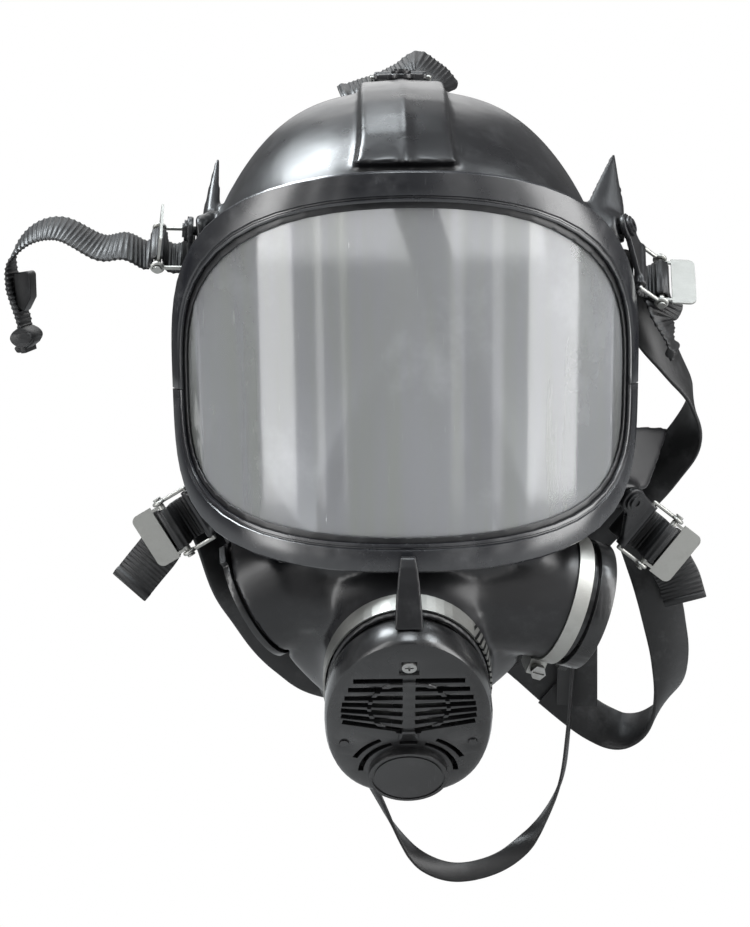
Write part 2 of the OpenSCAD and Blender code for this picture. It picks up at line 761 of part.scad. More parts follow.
module chin_band() {
    color(STEEL)
    chin() {
        oval_tube(neck_a + seat_clear + band_t, neck_b + seat_clear + band_t, band_t, band_z, band_z + band_w);
        translate([0, -neck_b - 4.3, band_z + band_w / 2]) difference() {
            translate([-6, -3.6, -band_w / 2 - 1]) cube([12, 7.4, band_w + 2]);
            rotate([0, 90, 0]) disc(2.5 + run_clear, -8, 8, 32);
        }
    }
}
module chin_band_screw() {
    color(STEEL)
    chin() translate([0, -neck_b - 4.3, band_z + band_w / 2]) rotate([0, 90, 0]) {
        disc(2.5, -7, 8, 32);
        difference() {
            translate([0, 0, 8]) cylinder(r = 3.4, h = 3, $fn = 6);
            translate([-2.5, -0.4, 10]) cube([5, 0.8, 2]);
        }
    }
}

// ---------------------------------------------------------------- side ports

flange_z = 6.5;
tube_back = -14;
latch_w = 8;
latch_h = 4;
latch_z = flange_z + flange_t / 2 - latch_h / 2;
latch_in = flange_d / 2 - 3.5;
latch_out = flange_d / 2 + 1.5;
module port_adapter() {
    color(PLASTIC)
    port_one() difference() {
        union() {
            disc(tube_r, tube_back, flange_z + 1, 96);
            disc(flange_d / 2, flange_z, flange_z + flange_t, 96);
        }
        disc(port_bore_d / 2, tube_back - 1, flange_z + flange_t + 1, 96);
        translate([-latch_w / 2 - run_clear, latch_in - latch_travel - 0.2, latch_z - run_clear])
            cube([latch_w + 2 * run_clear, 12, latch_h + 2 * run_clear]);
        for (a = [0, 180]) rotate([0, 0, a]) translate([port_bore_d / 2 - 1, -3, flange_z + flange_t - 2]) cube([4, 6, 3]);
    }
}
module port_latch() {
    color(PLASTIC)
    port_one() difference() {
        translate([-latch_w / 2, latch_in, latch_z]) cube([latch_w, latch_out - latch_in, latch_h]);
        for (x = [-2, 0, 2]) translate([x - 0.3, latch_out - 0.4, latch_z - 1]) cube([0.6, 1, latch_h + 2]);
    }
}
port_band_z = -3.5;
port_band_w = 6.5;
module port_band() {
    color(STEEL)
    port_one() {
        tube(port_neck_r + 0.2 + band_t, port_neck_r + 0.2, port_band_z, port_band_z + port_band_w, 96);
        rotate([0, 0, 8]) translate([0, port_neck_r + 4.6, port_band_z + port_band_w / 2]) difference() {
            translate([-6, -3.8, -port_band_w / 2 - 0.5]) cube([12, 7, port_band_w + 1]);
            rotate([0, 90, 0]) disc(2.5 + run_clear, -8, 8, 32);
        }
    }
}
module port_band_screw() {
    color(STEEL)
    port_one() rotate([0, 0, 8]) translate([0, port_neck_r + 4.6, port_band_z + port_band_w / 2]) rotate([0, 90, 0]) {
        disc(2.5, -7, 8, 32);
        difference() {
            translate([0, 0, 8]) cylinder(r = 3.4, h = 3, $fn = 6);
            translate([-2.5, -0.4, 10]) cube([5, 0.8, 2]);
        }
    }
}
module port_valve_seat() {
    color(PLASTIC)
    port_one() {
        tube(tube_r, port_bore_d / 2 - 1, tube_back - 3, tube_back);
        disc(3, tube_back - 3, tube_back - 1.5, 32);
        for (a = [0, 90]) rotate([0, 0, a]) translate([-port_bore_d / 2, -1, tube_back - 3]) cube([port_bore_d, 2, 1.5]);
    }
}
module port_valve_flap() {
    color(RUBBER)
    port_one() disc(port_bore_d / 2 + 0.5, tube_back - 3.8, tube_back - 3);
}
module blank_plug() {
    z = blank_rim + seat_clear;
    color(PLASTIC)
    blank_one() difference() {
        union() {
            disc(tube_r - 1, -2, z + 1, 96);
            disc(port_neck_r - 0.4, z, z + blank_lip, 96);
            rotate([0, 0, 150]) translate([-5, port_neck_r - 3, z]) cube([10, 4.6, blank_lip]);
        }
        disc(port_bore_d / 2 - 1, -3, z, 96);
        disc(port_bore_d / 2 - 4, z + blank_lip - 1.2, z + blank_lip + 1, 96);
    }
}

// ---------------------------------------------------------------- harness

wire_r = wire_d / 2;
hem_r = wire_r + 1.7;
arm_x = strap_w / 2 + 2.9;
hem_l = 2 * arm_x - wire_d - 0.5;
eye_r = 2.2;
pin_r = eye_r - wire_r - run_clear;
bar_r = pin_r + 0.25;
link_t = 2.6;
// Strap links: hinge centre, hinge axis, direction of the bail, stud
LINKS = [
    [[102, -40, 48.5], unit([-0.1, -0.72, -0.68]), [0.77, 0.38, -0.52], [96, -40, 65]],
    [[103.5, -37.5, -66.5], unit([-0.62, 0, -0.79]), [0.81, 0, -0.58], [100, -45, -53.5]],
    [[-92.2, -40, 58.5], unit([-0.05, 0.78, 0.62]), [-0.99, -0.13, 0], [-90.5, -48, 66]],
    [[-91.7, -42, -57.5], unit([-0.5, 0, 0.87]), [-0.87, 0, -0.5], [-86.5, -52, -55]],
    [[0, -5, seal_top + 7.5], [1, 0, 0], [0, 0.75, -0.66], [0, -18, seal_top + 6.6]]
];
WINGS = [
    [[84, -45, 62], [80, -33, 74], [94.5, -10, 96], [96, -38, 62]],
    [[84, -50, -42], [81, -42, -54], [104, -30, -24], [122, -16, -27], [108, -34, -50]],
    [[-84, -48, 62], [-80, -34, 74], [-81.5, -15, 96], [-87, -38, 66]],
    [[-80, -58, -50], [-82, -46, -56], [-86, -46, -50]]
];
function link_s(l) = (l[3] - l[0]) * l[1];
function link_w(l) = l[3] - l[0] - l[1] * link_s(l);
function link_n(l) = unit(cross(l[1], -link_w(l)));
// Children in the frame of link l: X along the hinge, Y from stud to hinge
module at_link(l) {
    at(l[0], l[1], -link_w(l)) children();
}
module stud(l, grow, z0, z1) {
    at_link(l) translate([link_s(l), -norm(link_w(l)), 0]) disc(2 + grow, z0, z1, 32);
}
module link_studs() {
    color(PLASTIC)
    for (l = LINKS) {
        stud(l, 0, -6, link_t / 2 + 0.5);
        at_link(l) translate([link_s(l), -norm(link_w(l)), 0]) {
            disc(4.4, link_t / 2, link_t / 2 + 1.2, 48);
            difference() {
                disc(3, link_t / 2 + 1, link_t / 2 + 2, 48);
                disc(1.6, link_t / 2 + 1.4, link_t / 2 + 3, 48);
            }
        }
    }
}
module link(l) {
    s = link_s(l);
    d = norm(link_w(l));
    color(RUBBER)
    at_link(l) difference() {
        union() {
            translate([-hem_l / 2, 0, 0]) rotate([0, 90, 0]) cylinder(r = hem_r, h = hem_l, $fn = 32);
            translate([0, 0, -link_t / 2]) linear_extrude(link_t)
                polygon([[-hem_l / 2, 0], [hem_l / 2, 0], [s + 5.5, -d + 1], [s - 5.5, -d + 1]]);
            translate([s, -d, 0]) disc(6, -link_t / 2, link_t / 2, 48);
        }
        translate([-hem_l, 0, 0]) rotate([0, 90, 0]) cylinder(r = wire_r + run_clear, h = 2 * hem_l, $fn = 32);
        translate([s, -d, 0]) disc(2.15, -5, 5, 32);
    }
}
module link_ur() link(LINKS[0]);
module link_lr() link(LINKS[1]);
module link_ul() link(LINKS[2]);
module link_ll() link(LINKS[3]);
module link_top() link(LINKS[4]);

// The top bail turns the other way round
TOP_BAIL = [LINKS[4][0], -LINKS[4][1], LINKS[4][2]];
// Wire bail, hinged on local X at the origin
module bail() {
    color(STEEL) {
        translate([-arm_x, 0, 0]) rotate([0, 90, 0]) cylinder(r = wire_r, h = 2 * arm_x, $fn = 24);
        for (s = [1, -1]) translate([s * arm_x, 0, 0]) {
            sphere(r = wire_r, $fn = 24);
            rotate([-90, 0, 0]) cylinder(r = wire_r, h = bail_l - eye_r, $fn = 24);
            translate([0, bail_l, 0]) rotate([0, 90, 0]) torus(eye_r, wire_r);
        }
    }
}
// Steel plate with its bar, turned open by angle a
module plate(a) {
    near = bar_r + strap_t + 1.2;
    side = arm_x - wire_r - 0.3;
    color(STEEL)
    translate([0, bail_l, 0]) rotate([a, 0, 0]) {
        translate([-side, 0, 0]) rotate([0, 90, 0]) cylinder(r = bar_r, h = 2 * side, $fn = 32);
        translate([-arm_x - wire_r - 0.9, 0, 0]) rotate([0, 90, 0]) cylinder(r = pin_r, h = 2 * (arm_x + wire_r + 0.9), $fn = 32);
        for (s = [1, -1]) translate([s * (arm_x + wire_r + 0.3), 0, 0]) rotate([0, s * 90, 0]) cylinder(r = pin_r + 0.6, h = 0.8, $fn = 32);
        difference() {
            translate([0, 0, -plate_t / 2]) linear_extrude(plate_t) union() {
                translate([-arm_x, near]) square([2 * arm_x, plate_l - near - 3]);
                translate([-arm_x + 3, near]) square([2 * arm_x - 6, plate_l - near]);
                for (s = [1, -1]) {
                    translate([s * (arm_x - 3), plate_l - 3]) circle(r = 3, $fn = 32);
                    translate([s > 0 ? side - 1.3 : -side, 0]) square([1.3, near + 1]);
                }
            }
        }
    }
}
// Wrapped strap end: across the bar, then through the tail's points
wrap_r = bar_r + seat_clear + strap_t / 2;
function wrap_pts(lead, a0, a1) = concat(
    lead,
    [for (k = [0:7]) let (a = a0 + (a1 - a0) * k / 7) [bail_l + wrap_r * cos(a), wrap_r * sin(a)]]
);
LEAD = [[2.6, -4.6], [6.2, -5.9], [bail_l - wrap_r - 0.6, -4.2]];
// Turn of a strap behind its hinge
TURN = [[-0.9, -3.95], [-4.4, -4.5], [-6.2, -7], [-4.4, -9.6], [0, -10.4]];
function world(h, p) =
    let (z = unit(cross(h[1], h[2])), y = cross(z, h[1]))
    h[0] + h[1] * p[0] + y * p[1] + z * p[2];
module strap_end(h, tail, tail_w, tip, lead = LEAD, a0 = 195, a1 = -15, turn = 2.4, gain = 1.2) {
    near = [for (p = wrap_pts(lead, a0, a1)) world(h, [0, p[0], p[1]])];
    dive = a1 > 0 ? [] : [world(h, [0, bail_l + 3.2, -2.5]), world(h, [0, bail_l + 6, -4.1])];
    t = curve(concat([near[len(near) - 2], near[len(near) - 1]], dive, tail), 4);
    far = [for (i = [4:len(t) - 1]) t[i]];
    pts = concat([for (i = [0:len(near) - 2]) near[i]], far);
    nw = len(near) - 1;
    w = [for (i = [0:len(pts) - 1]) i < nw ? h[1] : let (s = (i - nw) / (len(far) - 1)) unit(along(h[1], tail_w, min(1, pow(s, turn) * gain)))];
    n = len(pts);
    color(STRAP) {
        ribbon(pts, w, strap_w - 0.6, strap_t);
        d = unit(pts[n - 1] - pts[n - 2]);
        at(pts[n - 1] + d * (tip / 2 - 0.4), w[n - 1], d) translate([-(strap_w - 0.6) / 2, 0, 0]) rotate([0, 90, 0]) cylinder(r = tip, h = strap_w - 0.6, $fn = 24);
    }
}
module bail_ur() at(LINKS[0][0], LINKS[0][1], LINKS[0][2]) bail();
module bail_lr() at(LINKS[1][0], LINKS[1][1], LINKS[1][2]) bail();
module bail_ul() at(LINKS[2][0], LINKS[2][1], LINKS[2][2]) bail();
module bail_ll() at(LINKS[3][0], LINKS[3][1], LINKS[3][2]) bail();
module bail_top() at(TOP_BAIL[0], TOP_BAIL[1], TOP_BAIL[2]) bail();
module plate_ur() at(LINKS[0][0], LINKS[0][1], LINKS[0][2]) plate(41);
module plate_lr() at(LINKS[1][0], LINKS[1][1], LINKS[1][2]) plate(0);
module plate_ul() at(LINKS[2][0], LINKS[2][1], LINKS[2][2]) plate(98);
module plate_ll() at(LINKS[3][0], LINKS[3][1], LINKS[3][2]) plate(0);
module plate_top() at(TOP_BAIL[0], TOP_BAIL[1], TOP_BAIL[2]) plate(0);
module strap_end_ur() strap_end(LINKS[0], [[112, -39, 28], [114.5, -41, 20.5], [116.5, -41, 13]], [-0.98, -0.1, -0.1], 1.8);
module strap_end_lr() strap_end(LINKS[1], [[119.5, -34, -84.5], [124, -33, -93], [126.5, -32.6, -101]], [-0.8, 0.1, -0.4], 1.2);
module strap_end_ll() strap_end(LINKS[3], [[-110, -37.6, -74], [-118, -36, -84], [-125.5, -35.5, -93]], [-0.3, 0.15, 0.93], 2);
module strap_end_ul() {
    strap_end(
        LINKS[2],
        [
            [-119, -43, 59.8], [-130.1, -42, 59.5], [-146, -42, 67.3], [-158.5, -42, 65.3],
            [-167.4, -42, 56.1], [-168.3, -42, 44.2], [-164.8, -42, 30], [-163.6, -42, 20]
        ],
        [0, 0.95, 0.2], 2, turn = 1.7
    );
    color(STRAP) {
        translate([0, -36, 0]) rotate([90, 0, 0]) linear_extrude(12)
            polygon([[-166.9, 48.9], [-160.4, 49.8], [-159.4, 48.6], [-159.6, 38.5], [-162.9, 32.5], [-165.6, 34.5]]);
        hull()
            for (p = [[-165.6, 17.2], [-161.2, 20.6]])
                translate([p[0], -35, p[1]]) rotate([90, 0, 0]) cylinder(r = 2.3, h = 14, $fn = 24);
    }
}
module strap_end_top() strap_end(
    TOP_BAIL,
    [
        [0, 10.4, 123.8], [3, 16.5, 124.5], [13, 17.5, 125.4], [21.4, 16.5, 127.6], [20.4, 16, 131.6],
        [14.1, 16.4, 136.6], [8.6, 16.8, 140], [4, 17.2, 139], [-2, 17.6, 135.2], [-11.3, 18, 130.6], [-22.8, 17.5, 126.8]
    ],
    [-0.2, -0.8, -0.55], 1.6, [[17.5, 9.4], [14.2, 5.6]], 138.6, 270, 2.4, 7
);

// Harness straps: points, width vectors and how many steps between them
module strap(p, w) {
    pts = curve(p, 4);
    ww = curve(w, 4);
    color(STRAP) ribbon(pts, [for (v = ww) unit(v)], strap_w, strap_t);
}
module strap_ur() strap(
    concat([for (p = TURN) world(LINKS[0], [0, p[0], p[1]])], [
        [108, -25, 22], [121, -20, 4], [131.5, -14, -12], [131.5, -8, -30], [124, 1, -45.7],
        [113.9, 8, -61], [91.7, 14, -83.8], [85, 15.5, -108.8], [85.6, 17, -137.3], [86.1, 17, -171.2]
    ]),
    concat([for (p = TURN) LINKS[0][1] * -1], [
        [0.6, 0.5, 0.6], [0.5, 0.75, 0.35], [0.25, 0.95, 0.1], [-0.5, 0.8, 0.2], [-0.75, 0.35, 0.5],
        [-0.72, 0.2, 0.66], [-0.85, 0.15, 0.45], [-0.97, 0.15, 0.1], [-0.95, 0.25, 0], [-0.97, 0.15, 0]
    ])
);
module strap_lr() strap(
    concat([for (p = TURN) world(LINKS[1], [0, p[0], p[1]])], [
        [111, -25, -86], [116, -27, -102], [121.1, -20, -118.7], [125.1, -14, -135.4], [126.8, -6, -153.1], [123.5, 2, -168.2],
        [116.7, 9, -179.5], [107.5, 15, -184.4], [97.2, 20, -181.9], [86.8, 22, -175.1], [73.9, 24.4, -164.7]
    ]),
    concat([for (p = TURN) LINKS[1][1] * -1], [
        [0.9, 0, 0.35], [0.98, 0, -0.1], [0.97, 0.2, 0], [0.93, 0.35, 0.05], [0.8, 0.55, 0.2], [0.5, 0.8, 0.35],
        [0.2, 0.9, 0.4], [0, 0.75, 0.65], [-0.1, 0.3, 0.9], [0.3, 0.1, 0.95], [0.6, 0, 0.8]
    ])
);
module strap_ll() strap(
    [[-93, -27, -64], [-88.3, -25, -75], [-81.5, -22, -94], [-73.4, -16, -109.5], [-63.9, -11, -126], [-54.4, -4, -138.5], [-42, 4, -150], [-20, 12, -156.5], [5, 17, -156.5], [28, 21, -151], [42, 23.6, -147], [54, 24.2, -142]],
    [[0.5, 0.85, 0], [0.6, 0.8, 0.15], [0.75, 0.6, 0.3], [0.85, 0.3, 0.45], [0.8, 0.1, 0.6], [0.7, 0, 0.72], [0.55, 0, 0.83], [0.1, 0, 1], [-0.1, 0, 1], [-0.3, 0, 0.95], [-0.35, 0, 0.93], [-0.4, 0, 0.92]]
);
module strap_ul() strap(
    [world(LINKS[2], [0, -0.2, -4.2]), [-91.5, -20, 36], [-90, 2, 14], [-86, 22, -18], [-78, 34, -52], [-62, 40, -86], [-30, 42, -114], [8, 38, -130], [36, 32.4, -137], [52, 30.8, -140]],
    [LINKS[2][1], [-0.15, 0.8, 0.55], [0, 0.85, 0.5], [0.15, 0.75, 0.5], [0.5, 0.5, 0.5], [0.75, 0.2, 0.6], [0.6, 0, 0.8], [0.4, 0, 0.9], [0.3, 0, 0.95], [0.25, 0, 0.95]]
);
module strap_top() strap(
    [[0, 2.5, 108.5], [2, 9, 95], [6, 17, 78], [15, 25, 50], [27, 33, 10], [42, 38, -40], [60, 37, -90], [70, 31.6, -116], [73, 30.8, -130]],
    [[1, 0, 0], [1, 0, 0.05], [0.98, 0, 0.15], [0.96, 0, 0.25], [0.95, 0, 0.3], [0.95, 0, 0.3], [0.97, 0, 0.2], [0.98, 0, 0.1], [1, 0, 0]]
);
PAD_Y = 26;
module head_pad() {
    color(STRAP)
    translate([0, PAD_Y + 3.5, 0]) rotate([90, 0, 0]) linear_extrude(3.5)
        polygon([[36, -124], [60, -118], [84, -118], [92, -128], [93, -160], [92, -178], [84, -184], [68, -172], [53, -158], [36, -146]]);
}
module neck_strap() {
    p = curve([[66, -16, -110], [76, -2, -120], [82, 8, -140], [82, 10, -160], [80.5, 8, -181], [76.7, 0, -201], [69.2, -6, -216.4], [57.4, -12, -230.5], [42.3, -18, -238.5], [22.6, -24, -239.5], [6, -28, -231], [-5.5, -30, -215], [-13.5, -33, -197], [-24, -24, -178], [-38, -14, -152], [-48, -12, -128]], 3);
    w = curve([[0.3, 0.6, 0.6], [0.3, 0.9, 0.2], [0.2, 0.97, 0], [0.2, 0.97, 0], [0.25, 0.95, 0.1], [0.3, 0.9, 0.2], [0.35, 0.8, 0.45], [0.3, 0.6, 0.7], [0.2, 0.5, 0.85], [0, 0.5, 0.86], [-0.2, 0.5, 0.8], [-0.4, 0.6, 0.65], [-0.5, 0.7, 0.4], [-0.5, 0.8, 0.2], [-0.5, 0.8, 0.1], [-0.5, 0.8, 0.1]], 3);
    color(STRAP) ribbon(p, [for (v = w) unit(v)], neck_w, neck_t);
}

face_body();
visor();
frame_upper();
frame_lower();
frame_screws();
frame_nuts();
nose_cup();
cup_valve_seats();
cup_valve_flaps();
chin_housing();
chin_band();
chin_band_screw();
speech_diaphragm();
diaphragm_ring();
diaphragm_seal();
exhale_seat();
exhale_disc();
exhale_spring();
exhale_bridge();
chin_cover();
cover_screw();
cover_disc();
cover_tab();
port_adapter();
port_band();
port_band_screw();
port_latch();
port_valve_seat();
port_valve_flap();
blank_plug();
link_studs();
link_top();
link_ur();
link_lr();
link_ul();
link_ll();
bail_top();
bail_ur();
bail_lr();
bail_ul();
bail_ll();
plate_top();
plate_ur();
plate_lr();
plate_ul();
plate_ll();
strap_end_top();
strap_end_ur();
strap_end_lr();
strap_end_ul();
strap_end_ll();
strap_top();
strap_ur();
strap_lr();
strap_ul();
strap_ll();
head_pad();
neck_strap();
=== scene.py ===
"""Looks for a full-face breathing mask: moulded rubber, ribbed straps, worn plastic, brushed
steel and a hazy lens.

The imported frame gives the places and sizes, apart from a few that are named here. Each
operator dresses one group of its pieces, and the last one sets the stage. Lengths are in
metres, as in the frame.
"""

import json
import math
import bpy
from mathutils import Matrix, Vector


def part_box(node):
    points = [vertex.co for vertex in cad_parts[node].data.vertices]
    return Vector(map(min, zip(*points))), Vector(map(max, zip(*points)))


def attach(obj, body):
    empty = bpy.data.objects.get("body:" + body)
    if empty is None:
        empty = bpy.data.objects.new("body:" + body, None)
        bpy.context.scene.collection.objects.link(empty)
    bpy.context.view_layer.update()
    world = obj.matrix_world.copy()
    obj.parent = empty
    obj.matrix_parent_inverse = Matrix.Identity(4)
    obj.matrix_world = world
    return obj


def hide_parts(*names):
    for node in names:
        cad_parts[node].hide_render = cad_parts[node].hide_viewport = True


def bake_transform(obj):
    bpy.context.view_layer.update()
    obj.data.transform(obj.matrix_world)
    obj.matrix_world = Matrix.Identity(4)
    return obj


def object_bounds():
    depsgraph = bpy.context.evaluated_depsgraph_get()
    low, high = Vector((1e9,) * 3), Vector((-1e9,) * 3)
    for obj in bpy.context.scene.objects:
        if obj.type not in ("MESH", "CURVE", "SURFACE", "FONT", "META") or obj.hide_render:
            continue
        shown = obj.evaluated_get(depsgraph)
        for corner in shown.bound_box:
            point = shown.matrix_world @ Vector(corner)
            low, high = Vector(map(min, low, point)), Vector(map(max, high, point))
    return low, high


bl_info = {
    "name": "Breathing mask",
    "version": (1, 0, 0),
    "blender": (4, 5, 0),
    "location": "View3D > Sidebar > Mask",
    "description": "Dresses the frame of a full-face breathing mask",
    "category": "Object",
}

import bmesh
import bpy
from bpy.props import FloatProperty, FloatVectorProperty, PointerProperty
from mathutils import Matrix, Vector
from mathutils.bvhtree import BVHTree

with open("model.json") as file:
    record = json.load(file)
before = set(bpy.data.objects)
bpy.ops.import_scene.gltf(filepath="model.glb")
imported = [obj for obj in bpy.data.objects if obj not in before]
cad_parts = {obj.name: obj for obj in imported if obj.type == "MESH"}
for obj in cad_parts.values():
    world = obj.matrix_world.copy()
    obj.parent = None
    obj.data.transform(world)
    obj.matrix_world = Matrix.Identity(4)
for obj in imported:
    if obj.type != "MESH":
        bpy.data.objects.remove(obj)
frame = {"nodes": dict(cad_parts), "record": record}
NODES = frame["nodes"]
CAD_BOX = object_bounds()
MM = 0.001
ROOT = "facepiece"
CORNERS = ("top", "ur", "lr", "ul", "ll")
# Edge rounding of the small pieces
FINE_EDGE = 0.12 * MM
# How far an edge of a band may be from the band's width or thickness
BAND_SLACK = 0.03 * MM
# Thickness of the rubber that is added to the face body
ADDED_RUBBER = 2.4 * MM
BODY_OF = {
    node: body for body, nodes in frame["record"]["behaviour"]["bodies"].items() for node in nodes
}


# ---------------------------------------------------------------- settings


def colour(name, default, description):
    """A colour that the user can change."""
    return FloatVectorProperty(
        name=name, description=description, default=default, subtype="COLOR", size=3, min=0, max=1
    )


def length(name, default, description, low, high):
    """A length that the user can change."""
    return FloatProperty(
        name=name, description=description, default=default, min=low, max=high, unit="LENGTH", precision=5
    )


def brightness(name, default, description, high):
    """A level of light that the user can change."""
    return FloatProperty(name=name, description=description, default=default, min=0, max=high)


class MaskColours(bpy.types.PropertyGroup):
    """Colours of the mask's materials."""

    rubber: colour("Rubber", (0.008, 0.008, 0.009), "Moulded rubber of the face body")
    plastic: colour("Plastic", (0.006, 0.006, 0.0065), "Black plastic of the chin unit and port")
    frame: colour("Clamp frame", (0.009, 0.0095, 0.012), "Glossy plastic of the clamp frame")
    strap: colour("Straps", (0.007, 0.007, 0.0075), "Ribbed rubber of the straps")
    steel: colour("Steel", (0.42, 0.42, 0.40), "Brushed steel of the plates, bails and bands")
    screws: colour("Screws", (0.40, 0.40, 0.39), "Plated steel of the screws and nuts")
    silicone: colour("Silicone", (0.10, 0.10, 0.105), "Grey silicone of the valve discs")
    cup: colour("Nose cup", (0.50, 0.52, 0.52), "Pale silicone of the nose cup")
    lens: colour("Lens", (0.50, 0.505, 0.525), "Tint of the lens")
    dust: colour("Dust", (0.30, 0.30, 0.31), "Dust and pale wear on the surfaces")


class MaskSizes(bpy.types.PropertyGroup):
    """Sizes of the details that the frame leaves plain."""

    rib_pitch: length("Rib pitch", 2.1 * MM, "Distance from rib to rib along a strap", 1.5 * MM, 5 * MM)
    rib_depth: length("Rib depth", 0.42 * MM, "Depth of the grooves between the ribs", 0, 0.9 * MM)
    bevel: length("Edge rounding", 0.3 * MM, "Radius on the edges of plastic and steel pieces", 0, 0.8 * MM)
    voxel: length("Rubber detail", 1.15 * MM, "Grid size of the rubber face body", 0.8 * MM, 3 * MM)


class MaskStage(bpy.types.PropertyGroup):
    """Floor, light and camera."""

    floor: colour("Floor", (0.36, 0.36, 0.36), "Colour of the floor")
    ambient: brightness("Soft light", 0.2, "Level of the light from all sides", 1)
    strips: brightness("Side strips", 6.0, "Radiance of the upright strip lights", 20)
    overhead: brightness("Overhead", 6.0, "Radiance of the overhead lights", 40)
    distance: length("Camera distance", 0.6, "Distance from the camera to its target", 0.3, 3)


def settings():
    """The three groups of settings of the scene."""
    scene = bpy.context.scene
    return scene.mask_colours, scene.mask_sizes, scene.mask_stage


# ---------------------------------------------------------------- materials


def add(tree, kind, inputs=None, **options):
    """A node of that kind. Inputs are values, or sockets to link from."""
    node = tree.nodes.new(kind)
    for key, value in options.items():
        setattr(node, key, value)
    for key, value in (inputs or {}).items():
        if isinstance(value, bpy.types.NodeSocket):
            tree.links.new(value, node.inputs[key])
        else:
            node.inputs[key].default_value = value
    return node


def maths(tree, operation, a, b=0.0, clamp=False):
    """Output of a Math node."""
    return add(tree, "ShaderNodeMath", {0: a, 1: b}, operation=operation, use_clamp=clamp).outputs[0]


def mix(tree, factor, a, b):
    """Output of a colour Mix node."""
    return add(tree, "ShaderNodeMix", {0: factor, 6: a, 7: b}, data_type="RGBA").outputs[2]


def noise(tree, vector, scale, detail=4.0, roughness=0.55):
    """Factor of a Noise texture."""
    inputs = {"Vector": vector, "Scale": scale, "Detail": detail, "Roughness": roughness}
    return add(tree, "ShaderNodeTexNoise", inputs).outputs["Fac"]


def band(tree, value, low, high):
    """Value remapped from low..high to 0..1."""
    inputs = {"Value": value, "From Min": low, "From Max": high}
    return add(tree, "ShaderNodeMapRange", inputs, interpolation_type="SMOOTHSTEP").outputs["Result"]


def new_group(name, inputs, outputs):
    """An empty shader group with those sockets, and its input and output nodes."""
    tree = bpy.data.node_groups.new(name, "ShaderNodeTree")
    for label, kind, default in inputs:
        socket = tree.interface.new_socket(label, in_out="INPUT", socket_type=kind)
        socket.default_value = default
    for label, kind in outputs:
        tree.interface.new_socket(label, in_out="OUTPUT", socket_type=kind)
    return tree, tree.nodes.new("NodeGroupInput"), tree.nodes.new("NodeGroupOutput")


SURFACE = (("Color", "NodeSocketColor"), ("Roughness", "NodeSocketFloat"), ("Normal", "NodeSocketVector"))


def put_out(tree, result, base, rough, height, strength, distance):
    """Links a surface group's three outputs. Its normal comes from a bump of that height."""
    bump = add(tree, "ShaderNodeBump", {"Height": height, "Strength": strength, "Distance": distance})
    for socket, value in (("Color", base), ("Roughness", rough), ("Normal", bump.outputs[0])):
        tree.links.new(value, result.inputs[socket])
    return tree


def scratch_mask(tree, place, turn, amount):
    """Mask of sparse straight scratches across the object, turned by that angle."""
    rotation = (turn, 0.6 * turn, 1.7 * turn)
    turned = add(tree, "ShaderNodeMapping", {"Vector": place, "Rotation": rotation, "Scale": (900, 26, 60)})
    lines = noise(tree, turned.outputs[0], 1.0, 2.0)
    patches = noise(tree, place, 45.0, 2.0)
    strong = band(tree, lines, 0.70, 0.80)
    sparse = maths(tree, "MULTIPLY", strong, band(tree, patches, 0.48, 0.66))
    return maths(tree, "MULTIPLY", sparse, amount)


def worn_surface():
    """Group for rubber and plastic: mottled roughness, dust, scratches and a fine moulded grain."""
    tree, given, result = new_group(
        "Worn surface",
        (
            ("Base", "NodeSocketColor", (0.02, 0.02, 0.02, 1)),
            ("Dust", "NodeSocketColor", (0.3, 0.3, 0.3, 1)),
            ("Dust Amount", "NodeSocketFloat", 0.2),
            ("Scratches", "NodeSocketFloat", 0.3),
            ("Grain Scale", "NodeSocketFloat", 2500.0),
            ("Grain Depth", "NodeSocketFloat", 0.3),
            ("Smooth", "NodeSocketFloat", 0.35),
            ("Rough", "NodeSocketFloat", 0.55),
        ),
        SURFACE,
    )
    place = add(tree, "ShaderNodeTexCoord").outputs["Object"]
    mottle = noise(tree, place, 22.0, 5.0)
    cloud = noise(tree, place, 70.0, 8.0, 0.7)
    grain = noise(tree, place, given.outputs["Grain Scale"], 3.0)
    scratches = maths(
        tree,
        "MAXIMUM",
        scratch_mask(tree, place, 0.5, given.outputs["Scratches"]),
        scratch_mask(tree, place, -1.1, given.outputs["Scratches"]),
    )
    dust = maths(tree, "MULTIPLY", band(tree, cloud, 0.48, 0.78), given.outputs["Dust Amount"])
    lighter = mix(tree, maths(tree, "MULTIPLY", dust, 0.35), given.outputs["Base"], given.outputs["Dust"])
    marked = mix(tree, maths(tree, "MULTIPLY", scratches, 0.5), lighter, given.outputs["Dust"])
    span = maths(tree, "SUBTRACT", given.outputs["Rough"], given.outputs["Smooth"])
    uneven = maths(tree, "MULTIPLY", band(tree, mottle, 0.32, 0.68), span)
    rough = maths(tree, "ADD", given.outputs["Smooth"], uneven)
    rough = maths(tree, "ADD", rough, maths(tree, "MULTIPLY", dust, 0.25), True)
    relief = maths(tree, "MULTIPLY", grain, given.outputs["Grain Depth"])
    height = maths(tree, "SUBTRACT", relief, scratches)
    return put_out(tree, result, marked, rough, height, 0.35, 0.0002)


# An X beyond every piece, so that a piece with this value has no slots
NO_SLOTS = 9.0


